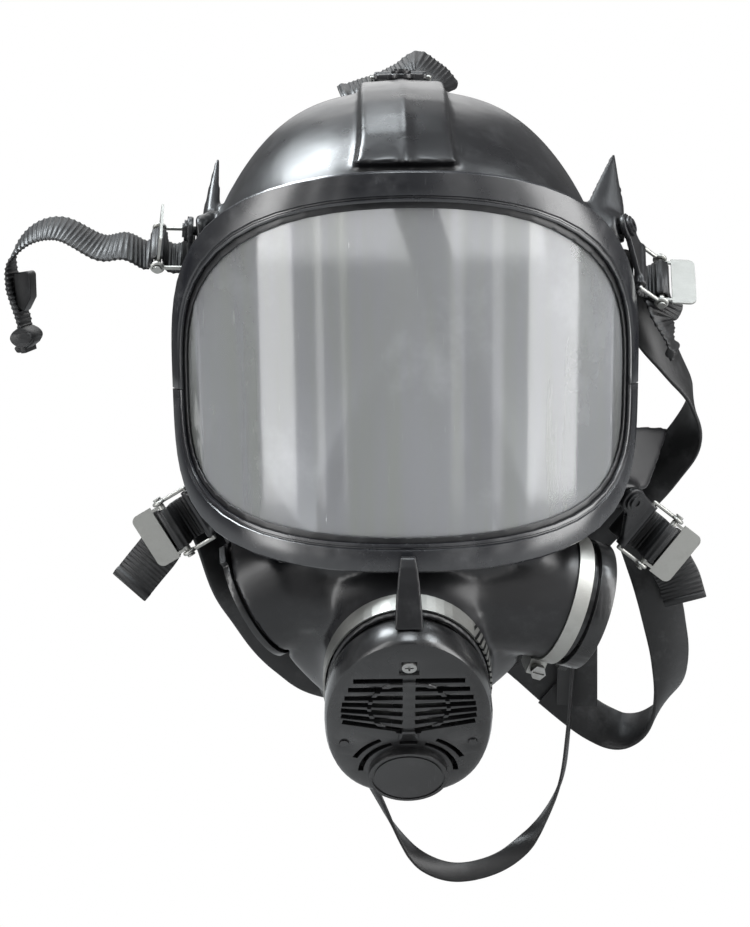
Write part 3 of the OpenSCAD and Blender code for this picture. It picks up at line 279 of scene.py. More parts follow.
def brushed_metal():
    """Group for steel: fine brushing, dull stains, small dents, and dark slots beyond an X."""
    tree, given, result = new_group(
        "Brushed metal",
        (
            ("Base", "NodeSocketColor", (0.6, 0.6, 0.6, 1)),
            ("Stain", "NodeSocketColor", (0.25, 0.24, 0.22, 1)),
            ("Stain Amount", "NodeSocketFloat", 0.4),
            ("Smooth", "NodeSocketFloat", 0.28),
            ("Slots From", "NodeSocketFloat", NO_SLOTS),
            ("Slot Pitch", "NodeSocketFloat", 0.003),
        ),
        SURFACE,
    )
    place = add(tree, "ShaderNodeTexCoord").outputs["Object"]
    stretch = {"Vector": place, "Rotation": (0.4, 0.3, 0.7), "Scale": (120, 2600, 2600)}
    along = add(tree, "ShaderNodeMapping", stretch)
    brush = noise(tree, along.outputs[0], 1.0, 3.0)
    cloud = noise(tree, place, 130.0, 8.0, 0.7)
    stain = maths(tree, "MULTIPLY", band(tree, cloud, 0.45, 0.75), given.outputs["Stain Amount"])
    base = mix(tree, stain, given.outputs["Base"], given.outputs["Stain"])
    axes = add(tree, "ShaderNodeSeparateXYZ", {"Vector": place}).outputs
    step = maths(tree, "FRACT", maths(tree, "DIVIDE", axes["Z"], given.outputs["Slot Pitch"]))
    slotted_side = maths(tree, "GREATER_THAN", axes["X"], given.outputs["Slots From"])
    slots = maths(tree, "MULTIPLY", maths(tree, "LESS_THAN", step, 0.42), slotted_side)
    base = mix(tree, slots, base, (0.02, 0.02, 0.02, 1))
    rough = maths(tree, "ADD", given.outputs["Smooth"], maths(tree, "MULTIPLY", brush, 0.22))
    rough = maths(tree, "ADD", rough, maths(tree, "MULTIPLY", stain, 0.3), True)
    dents = noise(tree, place, 260.0, 2.0)
    height = maths(tree, "ADD", maths(tree, "MULTIPLY", brush, 0.35), dents)
    return put_out(tree, result, base, rough, height, 0.25, 0.0003)


def hazy_lens():
    """Group for the lens: tint, wiped smears and fine scratches."""
    tree, given, result = new_group(
        "Hazy lens",
        (("Tint", "NodeSocketColor", (0.6, 0.6, 0.6, 1)), ("Haze", "NodeSocketFloat", 0.1)),
        SURFACE,
    )
    place = add(tree, "ShaderNodeTexCoord").outputs["Object"]
    upright = add(tree, "ShaderNodeMapping", {"Vector": place, "Scale": (150, 150, 9)})
    smear = noise(tree, upright.outputs[0], 1.0, 6.0, 0.6)
    cloud = noise(tree, place, 30.0, 6.0, 0.65)
    scratches = maths(
        tree, "MAXIMUM", scratch_mask(tree, place, 0.9, 1.0), scratch_mask(tree, place, -0.4, 1.0)
    )
    veil = maths(tree, "MULTIPLY", smear, cloud)
    wiped = maths(tree, "MULTIPLY", band(tree, veil, 0.2, 0.5), 0.09)
    rough = maths(tree, "ADD", given.outputs["Haze"], wiped)
    rough = maths(tree, "ADD", rough, maths(tree, "MULTIPLY", scratches, 0.2), True)
    greener = mix(tree, band(tree, smear, 0.35, 0.75), given.outputs["Tint"], (0.49, 0.505, 0.48, 1))
    patches = noise(tree, place, 16.0, 5.0, 0.7)
    pale = maths(tree, "MULTIPLY", band(tree, patches, 0.5, 0.7), 0.35)
    tint = mix(tree, pale, greener, (0.75, 0.76, 0.78, 1))
    tint = mix(tree, maths(tree, "MULTIPLY", scratches, 0.55), tint, (0.95, 0.95, 0.95, 1))
    height = maths(tree, "SUBTRACT", maths(tree, "MULTIPLY", smear, 0.4), scratches)
    return put_out(tree, result, tint, rough, height, 0.06, 0.0003)


def group_named(name, builder):
    """That shader group, built the first time it is asked for."""
    return bpy.data.node_groups.get(name) or builder()


def finish(name, builder, group, values, **shader):
    """A material whose colour, roughness and normal come from a group.

    The shader's own uniform values are given by name, with _ for each space.
    """
    found = bpy.data.materials.get(name)
    if found:
        return found
    material = bpy.data.materials.new(name)
    material.use_nodes = True
    tree = material.node_tree
    principled = tree.nodes["Principled BSDF"]
    surface = add(tree, "ShaderNodeGroup", node_tree=group_named(group, builder))
    for key, value in values.items():
        surface.inputs[key].default_value = value
    for output, socket in (("Color", "Base Color"), ("Roughness", "Roughness"), ("Normal", "Normal")):
        tree.links.new(surface.outputs[output], principled.inputs[socket])
    for key, value in shader.items():
        principled.inputs[key.replace("_", " ")].default_value = value
    return material


def rgba(value):
    """A colour setting with full alpha."""
    return (*value, 1.0)


def worn(name, base, dust, scratches, grain, depth, rough, **shader):
    """Rubber or plastic of that base colour, whose roughness lies between the two of rough."""
    colours = settings()[0]
    values = {
        "Base": rgba(base),
        "Dust": rgba(colours.dust),
        "Dust Amount": dust,
        "Scratches": scratches,
        "Grain Scale": grain,
        "Grain Depth": depth,
        "Smooth": rough[0],
        "Rough": rough[1],
    }
    return finish(name, worn_surface, "Worn surface", values, **shader)


def rubber():
    """Moulded rubber of the face body, links and tab."""
    base = settings()[0].rubber
    look = {"dust": 0.16, "scratches": 0.15, "grain": 1800.0, "depth": 0.2, "rough": (0.26, 0.40)}
    return worn("mask_rubber", base, **look)


def frame_plastic():
    """Glossy plastic of the clamp frame."""
    base = settings()[0].frame
    look = {"dust": 0.3, "scratches": 0.9, "grain": 900.0, "depth": 0.1, "rough": (0.17, 0.30)}
    return worn("mask_frame_plastic", base, **look, Specular_IOR_Level=1.0)


def plastic():
    """Black plastic of the chin unit and the ports."""
    base = settings()[0].plastic
    look = {"dust": 0.14, "scratches": 0.6, "grain": 3200.0, "depth": 0.4, "rough": (0.22, 0.36)}
    return worn("mask_plastic", base, **look, Coat_Weight=0.35, Coat_Roughness=0.16)


def strap_rubber():
    """Dull rubber of the straps, their ends and the pad."""
    base = settings()[0].strap
    look = {"dust": 0.3, "scratches": 0.1, "grain": 2600.0, "depth": 0.3, "rough": (0.36, 0.52)}
    return worn("mask_strap_rubber", base, **look)


def soft_silicone(name, base, dust):
    """Smooth silicone of that base colour."""
    return worn(name, base, dust=dust, scratches=0.0, grain=1500.0, depth=0.2, rough=(0.40, 0.55))


def silicone():
    """Grey silicone of the valve discs and seals."""
    return soft_silicone("mask_silicone", settings()[0].silicone, 0.2)


def cup_silicone():
    """Pale silicone of the nose cup."""
    return soft_silicone("mask_cup", settings()[0].cup, 0.3)


def metal(name, base, stain, smooth, slots_from=NO_SLOTS):
    """Brushed metal of that base colour."""
    values = {"Base": rgba(base), "Stain Amount": stain, "Smooth": smooth, "Slots From": slots_from}
    return finish(name, brushed_metal, "Brushed metal", values, Metallic=1.0)


def steel():
    """Steel of the buckles, the port band, the spring and the diaphragm."""
    return metal("mask_steel", settings()[0].steel, 0.25, 0.34)


def band_steel():
    """Steel of the chin band, which is slotted over the last share of its width."""
    slotted_share = 0.12
    low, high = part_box("chin_band")
    slots_from = high[0] - slotted_share * (high[0] - low[0])
    return metal("mask_band_steel", settings()[0].steel, 0.35, 0.30, slots_from)


def screw_steel():
    """Plated steel of the screws and nuts."""
    return metal("mask_screw_steel", settings()[0].screws, 0.5, 0.30)


def lens():
    """Clear tinted plastic of the lens."""
    values = {"Tint": rgba(settings()[0].lens), "Haze": 0.08}
    return finish("mask_lens", hazy_lens, "Hazy lens", values, Transmission_Weight=0.66, IOR=1.47)


# ---------------------------------------------------------------- shapes


def linked(name, data):
    """A new object of that data, linked into the scene."""
    thing = bpy.data.objects.new(name, data)
    bpy.context.scene.collection.objects.link(thing)
    return thing


def coat(mesh, material):
    """Gives the mesh that material and no other."""
    mesh.materials.clear()
    mesh.materials.append(material)


def new_piece(name, mesh, material, body, *nodes):
    """Makes an object of that mesh, which rides on a body and stands for those CAD nodes."""
    mesh.name = name
    piece = linked(name, mesh)
    coat(mesh, material)
    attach(piece, body)
    if nodes:
        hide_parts(*nodes)


def as_mesh(shape, name):
    """The bmesh as a mesh of that name. The bmesh is freed."""
    mesh = bpy.data.meshes.new(name)
    shape.to_mesh(mesh)
    shape.free()
    return mesh


def skin_tree(node):
    """The CAD node's surface, for finding places on it."""
    skin = NODES[node].data
    return BVHTree.FromPolygons([v.co for v in skin.vertices], [tuple(f.vertices) for f in skin.polygons])


def joined(node):
    """The CAD node's mesh as a bmesh whose faces share their vertices."""
    shape = bmesh.new()
    shape.from_mesh(NODES[node].data)
    bmesh.ops.remove_doubles(shape, verts=shape.verts, dist=0.01 * MM)
    bmesh.ops.dissolve_degenerate(shape, edges=shape.edges, dist=0.005 * MM)
    return shape


def applied(mesh, modifiers):
    """The mesh that those modifiers make of this one."""
    holder = linked("holder", mesh)
    for kind, options in modifiers:
        modifier = holder.modifiers.new(kind.lower(), kind)
        for key, value in options.items():
            setattr(modifier, key, value)
    graph = bpy.context.evaluated_depsgraph_get()
    graph.update()
    result = bpy.data.meshes.new_from_object(holder.evaluated_get(graph))
    bpy.data.objects.remove(holder)
    bpy.data.meshes.remove(mesh)
    return result


def add_wall(shape, node, place, reach, thick):
    """Adds a piece of wall to the shape, at the depth of the node's skin round an (x, z) place.

    The skin is looked for along Y, and what lies behind far_side is no part of it.
    """
    tree = skin_tree(node)
    count = 24
    in_front = -0.3
    far_side = -70 * MM
    lift = 0.1 * MM
    turns = [2 * math.pi * k / count for k in range(count)]
    spots = [(place[0] + reach[0] * math.cos(a), place[1] + reach[1] * math.sin(a)) for a in turns]
    hits = [tree.ray_cast(Vector((x, in_front, z)), Vector((0, 1, 0)))[0] for x, z in spots]
    rim = [h for h in hits if h is not None and h.y < far_side]
    rings = []
    for share in (1.0, 0.75, 0.5, 0.25):
        ring = []
        for spot_x, spot_z in spots:
            x = place[0] + (spot_x - place[0]) * share
            z = place[1] + (spot_z - place[1]) * share
            pulls = [1 / ((h.x - x) ** 2 + (h.z - z) ** 2 + MM * MM) for h in rim]
            depth = sum(pull * h.y for pull, h in zip(pulls, rim)) / sum(pulls)
            ring.append(tuple(shape.verts.new((x, depth + step, z)) for step in (lift, thick)))
        rings.append(ring)
    for side in (0, 1):
        for a, b in zip(rings, rings[1:]):
            for k in range(count):
                following = (k + 1) % count
                shape.faces.new((a[k][side], a[following][side], b[following][side], b[k][side]))
        shape.faces.new([pair[side] for pair in rings[-1]])
    for k in range(count):
        shape.faces.new((*rings[0][k], *reversed(rings[0][(k + 1) % count])))


def bridge(shape, loops):
    """Joins loops of vertices in order, and closes both ends."""
    for a, b in zip(loops, loops[1:]):
        for k in range(len(a)):
            following = (k + 1) % len(a)
            shape.faces.new((a[k], a[following], b[following], b[k]))
    shape.faces.new(reversed(loops[0]))
    shape.faces.new(loops[-1])


def add_pocket(shape, node, base, axis, toward, radii, thick, spread):
    """Lines a round pocket that is cut into the node's skin: a floor, and a wall that ends at the skin.

    The lining spreads by that many degrees to both sides of one way, where the skin is above the floor.
    """
    tree = skin_tree(node)
    out = (toward - toward.dot(axis) * axis).normalized()
    aside = axis.cross(out)
    inner, outer = radii
    above = 60 * MM
    lowest_wall = 0.5 * MM
    highest_wall = 25 * MM
    half_count = 24
    runs = [[]]
    for k in range(-half_count, half_count + 1):
        angle = math.radians(spread) * k / half_count
        ray = out * math.cos(angle) + aside * math.sin(angle)
        hit = tree.ray_cast(base + ray * (outer + 0.8 * MM) + axis * above, -axis)
        top = above - hit[3] if hit[0] is not None else -1
        if top < lowest_wall:
            runs.append([])
            continue
        wall = min(top, highest_wall) - 0.2 * MM
        back = outer + thick
        corners = ((inner, 0), (outer, 0), (outer, wall), (back, wall), (back, -thick), (inner, -thick))
        runs[-1].append([shape.verts.new(base + ray * r + axis * z) for r, z in corners])
    for loops in (run for run in runs if len(run) > 1):
        bridge(shape, loops)


def moulded(node, voxel, passes, rounds=1, keep=1.0, extra=None):
    """The node's shape with its corners run together, as moulded rubber has them.

    It is rounded that many times, remeshed, smoothed in passes and thinned to the share to keep.
    Extra is a function that adds to the shape first.
    """
    shape = joined(node)
    bmesh.ops.join_triangles(
        shape,
        faces=shape.faces,
        angle_face_threshold=math.radians(24),
        angle_shape_threshold=math.radians(50),
    )
    crease = shape.edges.layers.float.new("crease_edge")
    for edge in shape.edges:
        if len(edge.link_faces) == 2 and edge.calc_face_angle() > math.radians(32):
            edge[crease] = 1.0
    if extra:
        extra(shape)
    bmesh.ops.recalc_face_normals(shape, faces=shape.faces)
    steps = [("SUBSURF", {"levels": rounds})] if rounds else []
    steps += [
        ("REMESH", {"mode": "VOXEL", "voxel_size": voxel}),
        ("SMOOTH", {"factor": 0.5, "iterations": passes}),
    ]
    if keep < 1:
        steps.append(("DECIMATE", {"ratio": keep}))
    mesh = applied(as_mesh(shape, node), steps)
    mesh.shade_smooth()
    return mesh


def with_cad_rim(mesh, node, other, near, far):
    """The mesh with its part within near of another node swapped for the CAD node's own, out to far."""
    tree = skin_tree(other)
    longest_edge = 2.5 * MM

    def distance(place):
        return tree.find_nearest(place)[3]

    rough = bmesh.new()
    rough.from_mesh(mesh)
    close = {v for v in rough.verts if distance(v.co) < near}
    bmesh.ops.delete(rough, geom=[v for v in rough.verts if v in close], context="VERTS")
    exact = joined(node)
    for _ in range(4):
        bmesh.ops.triangulate(exact, faces=[f for f in exact.faces if len(f.verts) > 3])
        long = [e for e in exact.edges if e.calc_length() > longest_edge]
        bmesh.ops.subdivide_edges(exact, edges=long, cuts=1)
    away = [f for f in exact.faces if min(distance(v.co) for v in f.verts) > far]
    bmesh.ops.delete(exact, geom=away, context="FACES")
    sharp = as_mesh(exact, "rim")
    rough.from_mesh(sharp)
    rough.to_mesh(mesh)
    rough.free()
    bpy.data.meshes.remove(sharp)
    mesh.shade_smooth()
    mesh.set_sharp_from_angle(angle=math.radians(40))
    return mesh


def refined(node, angle, bevel=0.0):
    """The node's own shape with smooth shading, except on edges sharper than the angle in degrees."""
    mesh = as_mesh(joined(node), node)
    if bevel:
        options = {"width": bevel, "segments": 2, "limit_method": "ANGLE"}
        options["angle_limit"] = math.radians(angle)
        mesh = applied(mesh, [("BEVEL", options)])
    mesh.shade_smooth()
    mesh.set_sharp_from_angle(angle=math.radians(angle))
    return mesh


def dress(nodes, material, bevel=None):
    """Finishes CAD nodes as they are: their material, and rounded edges from modifiers."""
    width = settings()[1].bevel if bevel is None else bevel
    for node in nodes:
        piece = NODES[node]
        coat(piece.data, material)
        if width:
            weld = piece.modifiers.new("weld", "WELD")
            weld.merge_threshold = 0.002 * MM
            rounding = piece.modifiers.new("rounding", "BEVEL")
            rounding.width = width
            rounding.segments = 2
            rounding.limit_method = "ANGLE"
            rounding.angle_limit = math.radians(38)
            rounding.harden_normals = True


def middle(node):
    """Centre of a CAD node's box."""
    low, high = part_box(node)
    return (Vector(low) + Vector(high)) / 2


class Ring:
    """One cross-section of a band: its centre, and the directions across it and out of its face."""

    def __init__(self, centre, across, normal):
        self.centre = centre
        self.across = across
        self.normal = normal


def band_sizes(node):
    """Width and thickness of a CAD band: its commonest long edge and its commonest short one."""
    shape = joined(node)
    counts = {}
    for edge in shape.edges:
        key = round(edge.calc_length() / (0.02 * MM)) * 0.02 * MM
        counts[key] = counts.get(key, 0) + 1
    shape.free()
    wide = max((key for key in counts if 8 * MM < key < 21 * MM), key=counts.get)
    thick = max((key for key in counts if 1.5 * MM < key < 2.3 * MM), key=counts.get)
    return wide, thick


def facing_edge(a, b, wide, thick):
    """The two vertices of the long edge that faces the edge a-b through the band, or None."""
    found = None
    for link in a.link_edges:
        other = link.other_vert(a)
        if other is b or abs(link.calc_length() - thick) > BAND_SLACK:
            continue
        for far in other.link_edges:
            last = far.other_vert(other)
            if abs(far.calc_length() - wide) > BAND_SLACK or last is a:
                continue
            gap = (last.co - b.co).length
            level = abs((b.co - a.co).normalized().dot((last.co - other.co).normalized())) > 0.999
            if abs(gap - thick) < BAND_SLACK and level:
                found = (other, last)
    return found


def loose_rings(shape, wide, thick):
    """The rings of a band in no order. Each knows its vertices and the rings that it is joined to."""
    ring_of = {}
    rings = []
    for edge in [e for e in shape.edges if abs(e.calc_length() - wide) < BAND_SLACK]:
        a, b = edge.verts
        if a in ring_of or b in ring_of:
            continue
        facing = facing_edge(a, b, wide, thick)
        if facing is None:
            continue
        other, last = facing
        centre = (a.co + b.co + other.co + last.co) / 4
        ring = Ring(centre, (b.co - a.co).normalized(), (a.co - other.co).normalized())
        ring.verts = (a, b, other, last)
        for vert in ring.verts:
            ring_of[vert] = ring
        rings.append(ring)
    for ring in rings:
        ring.near = {
            ring_of[e.other_vert(v)] for v in ring.verts for e in v.link_edges if e.other_vert(v) in ring_of
        } - {ring}
    return rings


def band_rings(node, wide, thick, origin):
    """The rings that a CAD band is skinned over, in order from its end near the origin."""
    widest_break = 16 * MM
    shape = joined(node)
    rings = loose_rings(shape, wide, thick)
    ends = [r for r in rings if len(r.near) == 1]
    chain = [min(ends, key=lambda r: (r.centre - origin).length)]
    left = set(rings) - {chain[0]}
    while left:
        joined_on = chain[-1].near & left
        following = min(joined_on or left, key=lambda r: (r.centre - chain[-1].centre).length)
        if not joined_on and (following.centre - chain[-1].centre).length > widest_break:
            break
        chain.append(following)
        left.discard(following)
    across, normal = chain[0].across, chain[0].normal
    for ring in chain:
        if ring.across.dot(across) < 0:
            ring.across = -ring.across
        if ring.normal.dot(normal) < 0:
            ring.normal = -ring.normal
        across, normal = ring.across, ring.normal
    shape.free()
    return [Ring(r.centre.copy(), r.across.copy(), r.normal.copy()) for r in chain]


def run_out(node, rings):
    """Adds the ring at a band's far tip, and returns the radius of the tip's bead."""
    longest_tip = 14 * MM
    end, before = rings[-1], rings[-2]
    ahead = (end.centre - before.centre).normalized()
    tip = [v.co - end.centre for v in NODES[node].data.vertices if (v.co - end.centre).length < longest_tip]
    tip = [p for p in tip if p.dot(ahead) > 0.2 * MM]
    reach = max(p.dot(ahead) for p in tip)
    rings.append(Ring(end.centre + ahead * reach, end.across.copy(), end.normal.copy()))
    return (max(p.dot(end.normal) for p in tip) - min(p.dot(end.normal) for p in tip)) / 2


def catmull(a, b, c, d, s):
    """Point between b and c on the curve through four points."""
    return 0.5 * (2 * b + (c - a) * s + (2 * a - 5 * b + 4 * c - d) * s * s + (3 * b - a - 3 * c + d) * s**3)


def resampled(rings, step):
    """Rings at even steps on the smooth curve through these ones, and how far along each is."""
    keys = ("centre", "across", "normal")
    fine = []
    travelled = 0.0
    last = None
    count = len(rings)
    for i in range(count - 1):
        four = [rings[max(i - 1, 0)], rings[i], rings[i + 1], rings[min(i + 2, count - 1)]]
        parts = max(1, round((four[2].centre - four[1].centre).length / step))
        for k in range(parts + (i == count - 2)):
            s = k / parts
            ring = Ring(*(catmull(*(getattr(r, key) for r in four), s) for key in keys))
            if last is not None:
                travelled += (ring.centre - last).length
            last = ring.centre
            ring.at = travelled
            fine.append(ring)
    return fine


def strap_mesh(name, rings, wide, thick, ribbed=(), tip=0.0):
    """A band skinned over rings, with grooves between ribs on the faces in ribbed, and a bead at its end.

    The faces are 1 and -1, and tip is the radius of the bead.
    """
    sizes = settings()[1]
    steps_per_rib = 6
    fine = resampled(rings, sizes.rib_pitch / steps_per_rib)
    end = fine[-1].at
    shape = bmesh.new()
    round_off = 0.32 * thick
    half = wide / 2
    loops = []
    for ring in fine:
        across = ring.across.normalized()
        normal = (ring.normal - ring.normal.dot(across) * across).normalized()
        phase = (ring.at / sizes.rib_pitch) % 1.0
        groove = sizes.rib_depth * min(1.0, 1.6 * math.sin(math.pi * phase) ** 2)
        bead = max(0.0, 1 - (end - ring.at) / (2.2 * tip)) if tip else 0.0
        swell = (tip - thick / 2) * math.sin(math.pi * min(1.0, bead * 1.3)) ** 0.7 if bead > 0 else 0.0
        up = thick / 2 - (groove if 1 in ribbed and not bead else 0) + swell
        down = thick / 2 - (groove if -1 in ribbed and not bead else 0) + swell
        corners = (
            (half - round_off, up),
            (half, up - round_off),
            (half, -down + round_off),
            (half - round_off, -down),
            (-half + round_off, -down),
            (-half, -down + round_off),
            (-half, up - round_off),
            (-half + round_off, up),
        )
        loops.append([shape.verts.new(ring.centre + across * x + normal * z) for x, z in corners])
    bridge(shape, loops)
    bmesh.ops.recalc_face_normals(shape, faces=shape.faces)
    mesh = as_mesh(shape, name)
    mesh.shade_smooth()
    mesh.set_sharp_from_angle(angle=math.radians(50))
    return mesh


def slab(outline, plane_y, depth, bevel):
    """A rounded slab: an outline of (x, z) points drawn at plane_y and given a depth along Y."""
    shape = bmesh.new()
    front = [shape.verts.new((x, plane_y, z)) for x, z in outline]
    face = shape.faces.new(front)
    raised = bmesh.ops.extrude_face_region(shape, geom=[face])
    for vert in (v for v in raised["geom"] if isinstance(v, bmesh.types.BMVert)):
        vert.co.y += depth
    bmesh.ops.recalc_face_normals(shape, faces=shape.faces)
    rounding = ("BEVEL", {"width": bevel, "segments": 3, "limit_method": "ANGLE"})
    mesh = applied(as_mesh(shape, "slab"), [rounding])
    mesh.shade_smooth()
    return mesh


# ---------------------------------------------------------------- operators


class MASK_OT_face_body(bpy.types.Operator):
    """Dresses the rubber face body"""

    bl_idname = "mask.face_body"
    bl_label = "Face body"

    def execute(self, context):
        voxel = settings()[1].voxel
        mesh = moulded("face_body", voxel, passes=14, keep=0.5, extra=self.close_up)
        self.draw_in(mesh)
        mesh = with_cad_rim(mesh, "face_body", "visor", near=2.6 * MM, far=4.6 * MM)
        new_piece("face_body_rubber", mesh, rubber(), ROOT, "face_body")
        return {"FINISHED"}

    def draw_in(self, mesh):
        """Draws the sides in beside the lens, so that the clamp frame stands out from them."""
        side = 80 * MM
        waist = 12 * MM
        half_height = 62 * MM
        depth = 2.6 * MM
        run_in = 10 * MM
        for vert in mesh.vertices:
            beside = abs(vert.co.x) - side
            level = 1 - abs(vert.co.z - waist) / half_height
            if beside > 0 and level > 0:
                pull = depth * min(1, beside / run_in) * min(1, 2 * level)
                vert.co.x -= math.copysign(pull, vert.co.x)

    def close_up(self, shape):
        """Adds wall where the skin is open or thin under the clamp frame, and lines the port pockets."""
        for x, z in ((-43.5, -72.5), (54.5, -69)):
            add_wall(shape, "face_body", (x * MM, z * MM), (10 * MM, 7 * MM), ADDED_RUBBER)
        port = next(m for m in frame["record"]["mounts"] if m["name"] == "breathing_port")
        place, axis = Vector(port["pos_m"]), Vector(port["axis"]).normalized()
        ring = [v.co - place for v in NODES["port_band"].data.vertices]
        inner = min((p - p.dot(axis) * axis).length for p in ring)
        start = min(p.dot(axis) for p in ring)
        flange = [v.co - place for v in NODES["port_adapter"].data.vertices]
        outer = max((p - p.dot(axis) * axis).length for p in flange) + 4 * MM
        base = place + axis * (start - 0.5 * MM)
        opening = Vector((76, -59, -64)) * MM - place
        radii = (inner - 2 * MM, outer)
        add_pocket(shape, "face_body", base, axis, opening, radii, ADDED_RUBBER, spread=100)
        # The blanked port has no mount, so its place in millimetres and its direction are given
        blank_axis = Vector((-0.87, 0.11, -0.46)).normalized()
        blank_base = (Vector((-54, -66, -84.5)) + 10.4 * blank_axis) * MM
        radii = (inner - 3 * MM, inner + MM)
        upward = Vector((-1, 1, 1))
        add_pocket(shape, "face_body", blank_base, blank_axis, upward, radii, ADDED_RUBBER, spread=175)


class MASK_OT_lens(bpy.types.Operator):
    """Dresses the curved lens"""

    bl_idname = "mask.lens"
    bl_label = "Lens"

    def execute(self, context):
        new_piece("lens_clear", refined("visor", 40), lens(), ROOT, "visor")
        return {"FINISHED"}


class MASK_OT_clamp_frame(bpy.types.Operator):
    """Dresses the clamp frame round the lens, with its screws and nuts"""

    bl_idname = "mask.clamp_frame"
    bl_label = "Clamp frame"

    def execute(self, context):
        for half in ("upper", "lower"):
            node = f"frame_{half}"
            new_piece(f"{node}_satin", refined(node, 30, 0.22 * MM), frame_plastic(), ROOT, node)
        dress(("frame_screws", "frame_nuts"), screw_steel(), FINE_EDGE)
        return {"FINISHED"}


class MASK_OT_nose_cup(bpy.types.Operator):
    """Dresses the inner nose cup and its two valves"""

    bl_idname = "mask.nose_cup"
    bl_label = "Nose cup"

    def execute(self, context):
        mesh = moulded("nose_cup", voxel=1.0 * MM, passes=8, keep=0.6)
        new_piece("nose_cup_soft", mesh, cup_silicone(), ROOT, "nose_cup")
        dress(("cup_valve_seats",), plastic())
        dress(("cup_valve_flaps",), silicone(), FINE_EDGE)
        return {"FINISHED"}


class MASK_OT_chin_unit(bpy.types.Operator):
    """Dresses the chin unit: its cover, disc, tab, clamp band and the valve parts inside"""

    bl_idname = "mask.chin_unit"
    bl_label = "Chin unit"

    def execute(self, context):
        cover = refined("chin_cover", 32, 0.55 * MM)
        new_piece("chin_cover_moulded", cover, plastic(), ROOT, "chin_cover")
        dress(("chin_housing", "cover_disc", "diaphragm_ring", "exhale_seat", "exhale_bridge"), plastic())
        dress(("diaphragm_seal", "exhale_disc"), silicone(), FINE_EDGE)
        dress(("chin_band",), band_steel(), 0)
        dress(("speech_diaphragm",), steel(), 0)
        self.spring()
        dress(("cover_screw", "chin_band_screw"), screw_steel(), FINE_EDGE)
        tab = moulded("cover_tab", voxel=0.45 * MM, passes=10)
        new_piece("cover_tab_rubber", tab, rubber(), ROOT, "cover_tab")
        return {"FINISHED"}

    def spring(self):
        """Makes the valve's spring, a smooth-shaded copy of the CAD node's shape."""
        mesh = refined("exhale_spring", 50)
        spring = linked("exhale_spring_wire", mesh)
        coat(mesh, steel())
        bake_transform(spring)
        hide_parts("exhale_spring")


class MASK_OT_ports(bpy.types.Operator):
    """Dresses the breathing port with its latch and valve, and the plug of the blanked port"""

    bl_idname = "mask.ports"
    bl_label = "Ports"

    def execute(self, context):
        dress(("port_adapter", "port_latch", "port_valve_seat", "blank_plug"), plastic())
        dress(("port_valve_flap",), silicone(), FINE_EDGE)
        dress(("port_band",), steel(), 0)
        dress(("port_band_screw",), screw_steel(), FINE_EDGE)
        return {"FINISHED"}


class MASK_OT_links(bpy.types.Operator):
    """Dresses the rubber tabs that hold the buckles, and their studs"""

    bl_idname = "mask.links"
    bl_label = "Link tabs"

    def execute(self, context):
        for corner in CORNERS:
            node = f"link_{corner}"
            mesh = moulded(node, voxel=0.55 * MM, passes=5, rounds=0, keep=0.6)
            new_piece(f"{node}_rubber", mesh, rubber(), ROOT, node)
        dress(("link_studs",), rubber())
        return {"FINISHED"}


class MASK_OT_buckles(bpy.types.Operator):
    """Dresses the wire bails and the steel release plates"""

    bl_idname = "mask.buckles"
    bl_label = "Buckles"

    def execute(self, context):
        dress([f"bail_{corner}" for corner in CORNERS], steel(), 0)
        dress([f"plate_{corner}" for corner in CORNERS], steel(), 0.15 * MM)
        return {"FINISHED"}


class MASK_OT_strap_ends(bpy.types.Operator):
    """Makes the ribbed strap ends that go round the buckles"""

    bl_idname = "mask.strap_ends"
    bl_label = "Strap ends"

    def execute(self, context):
        for corner in CORNERS:
            node = f"strap_end_{corner}"
            wide, thick = band_sizes(node)
            rings = band_rings(node, wide, thick, middle(f"link_{corner}"))
            bead = run_out(node, rings)
            if corner == "ur":
                self.turn_tail(rings)
            mesh = strap_mesh(node, rings, wide, thick, (1, -1), bead)
            new_piece(f"{node}_ribbed", mesh, strap_rubber(), BODY_OF[node], node)
        self.tip_pieces()
        return {"FINISHED"}

    def turn_tail(self, rings):
        """Turns the tail of the upper right end edge-on towards the front."""
        facing = Vector((-0.35, -0.93, 0.1))
        turn_from = 0.55
        turn_rate = 2.6
        last = len(rings) - 1
        for k, ring in enumerate(rings):
            share = min(1.0, max(0.0, (k / len(rings) - turn_from) * turn_rate))
            ahead = (rings[min(k + 1, last)].centre - rings[max(k - 1, 0)].centre).normalized()
            edge_on = (facing - facing.dot(ahead) * ahead).normalized()
            edge_on *= 1 if edge_on.dot(ring.across) > 0 else -1
            ring.across = ring.across.lerp(edge_on, share).normalized()
            normal = ahead.cross(ring.across)
            ring.normal = normal.normalized() * (1 if normal.dot(ring.normal) > 0 else -1)

    def tip_pieces(self):
        """Makes the upper left end's pull tab and cross bar, from (x, z) outlines in millimetres."""
        tab = (
            (-166.9, 48.9),
            (-160.4, 49.8),
            (-159.4, 48.6),
            (-159.6, 38.5),
            (-162.9, 32.5),
            (-165.6, 34.5),
        )
        bar = (
            (-167.9, 17.0),
            (-166.6, 15.0),
            (-164.4, 15.2),
            (-159.2, 19.2),
            (-159.0, 21.4),
            (-160.6, 22.8),
            (-162.4, 22.6),
        )
        for name, outline, near, deep in (("pull_tab", tab, -48, 12), ("end_bar", bar, -49, 14)):
            points = [(x * MM, z * MM) for x, z in outline]
            mesh = slab(points, near * MM, deep * MM, 0.7 * MM)
            new_piece(f"strap_end_ul_{name}", mesh, strap_rubber(), BODY_OF["strap_end_ul"])


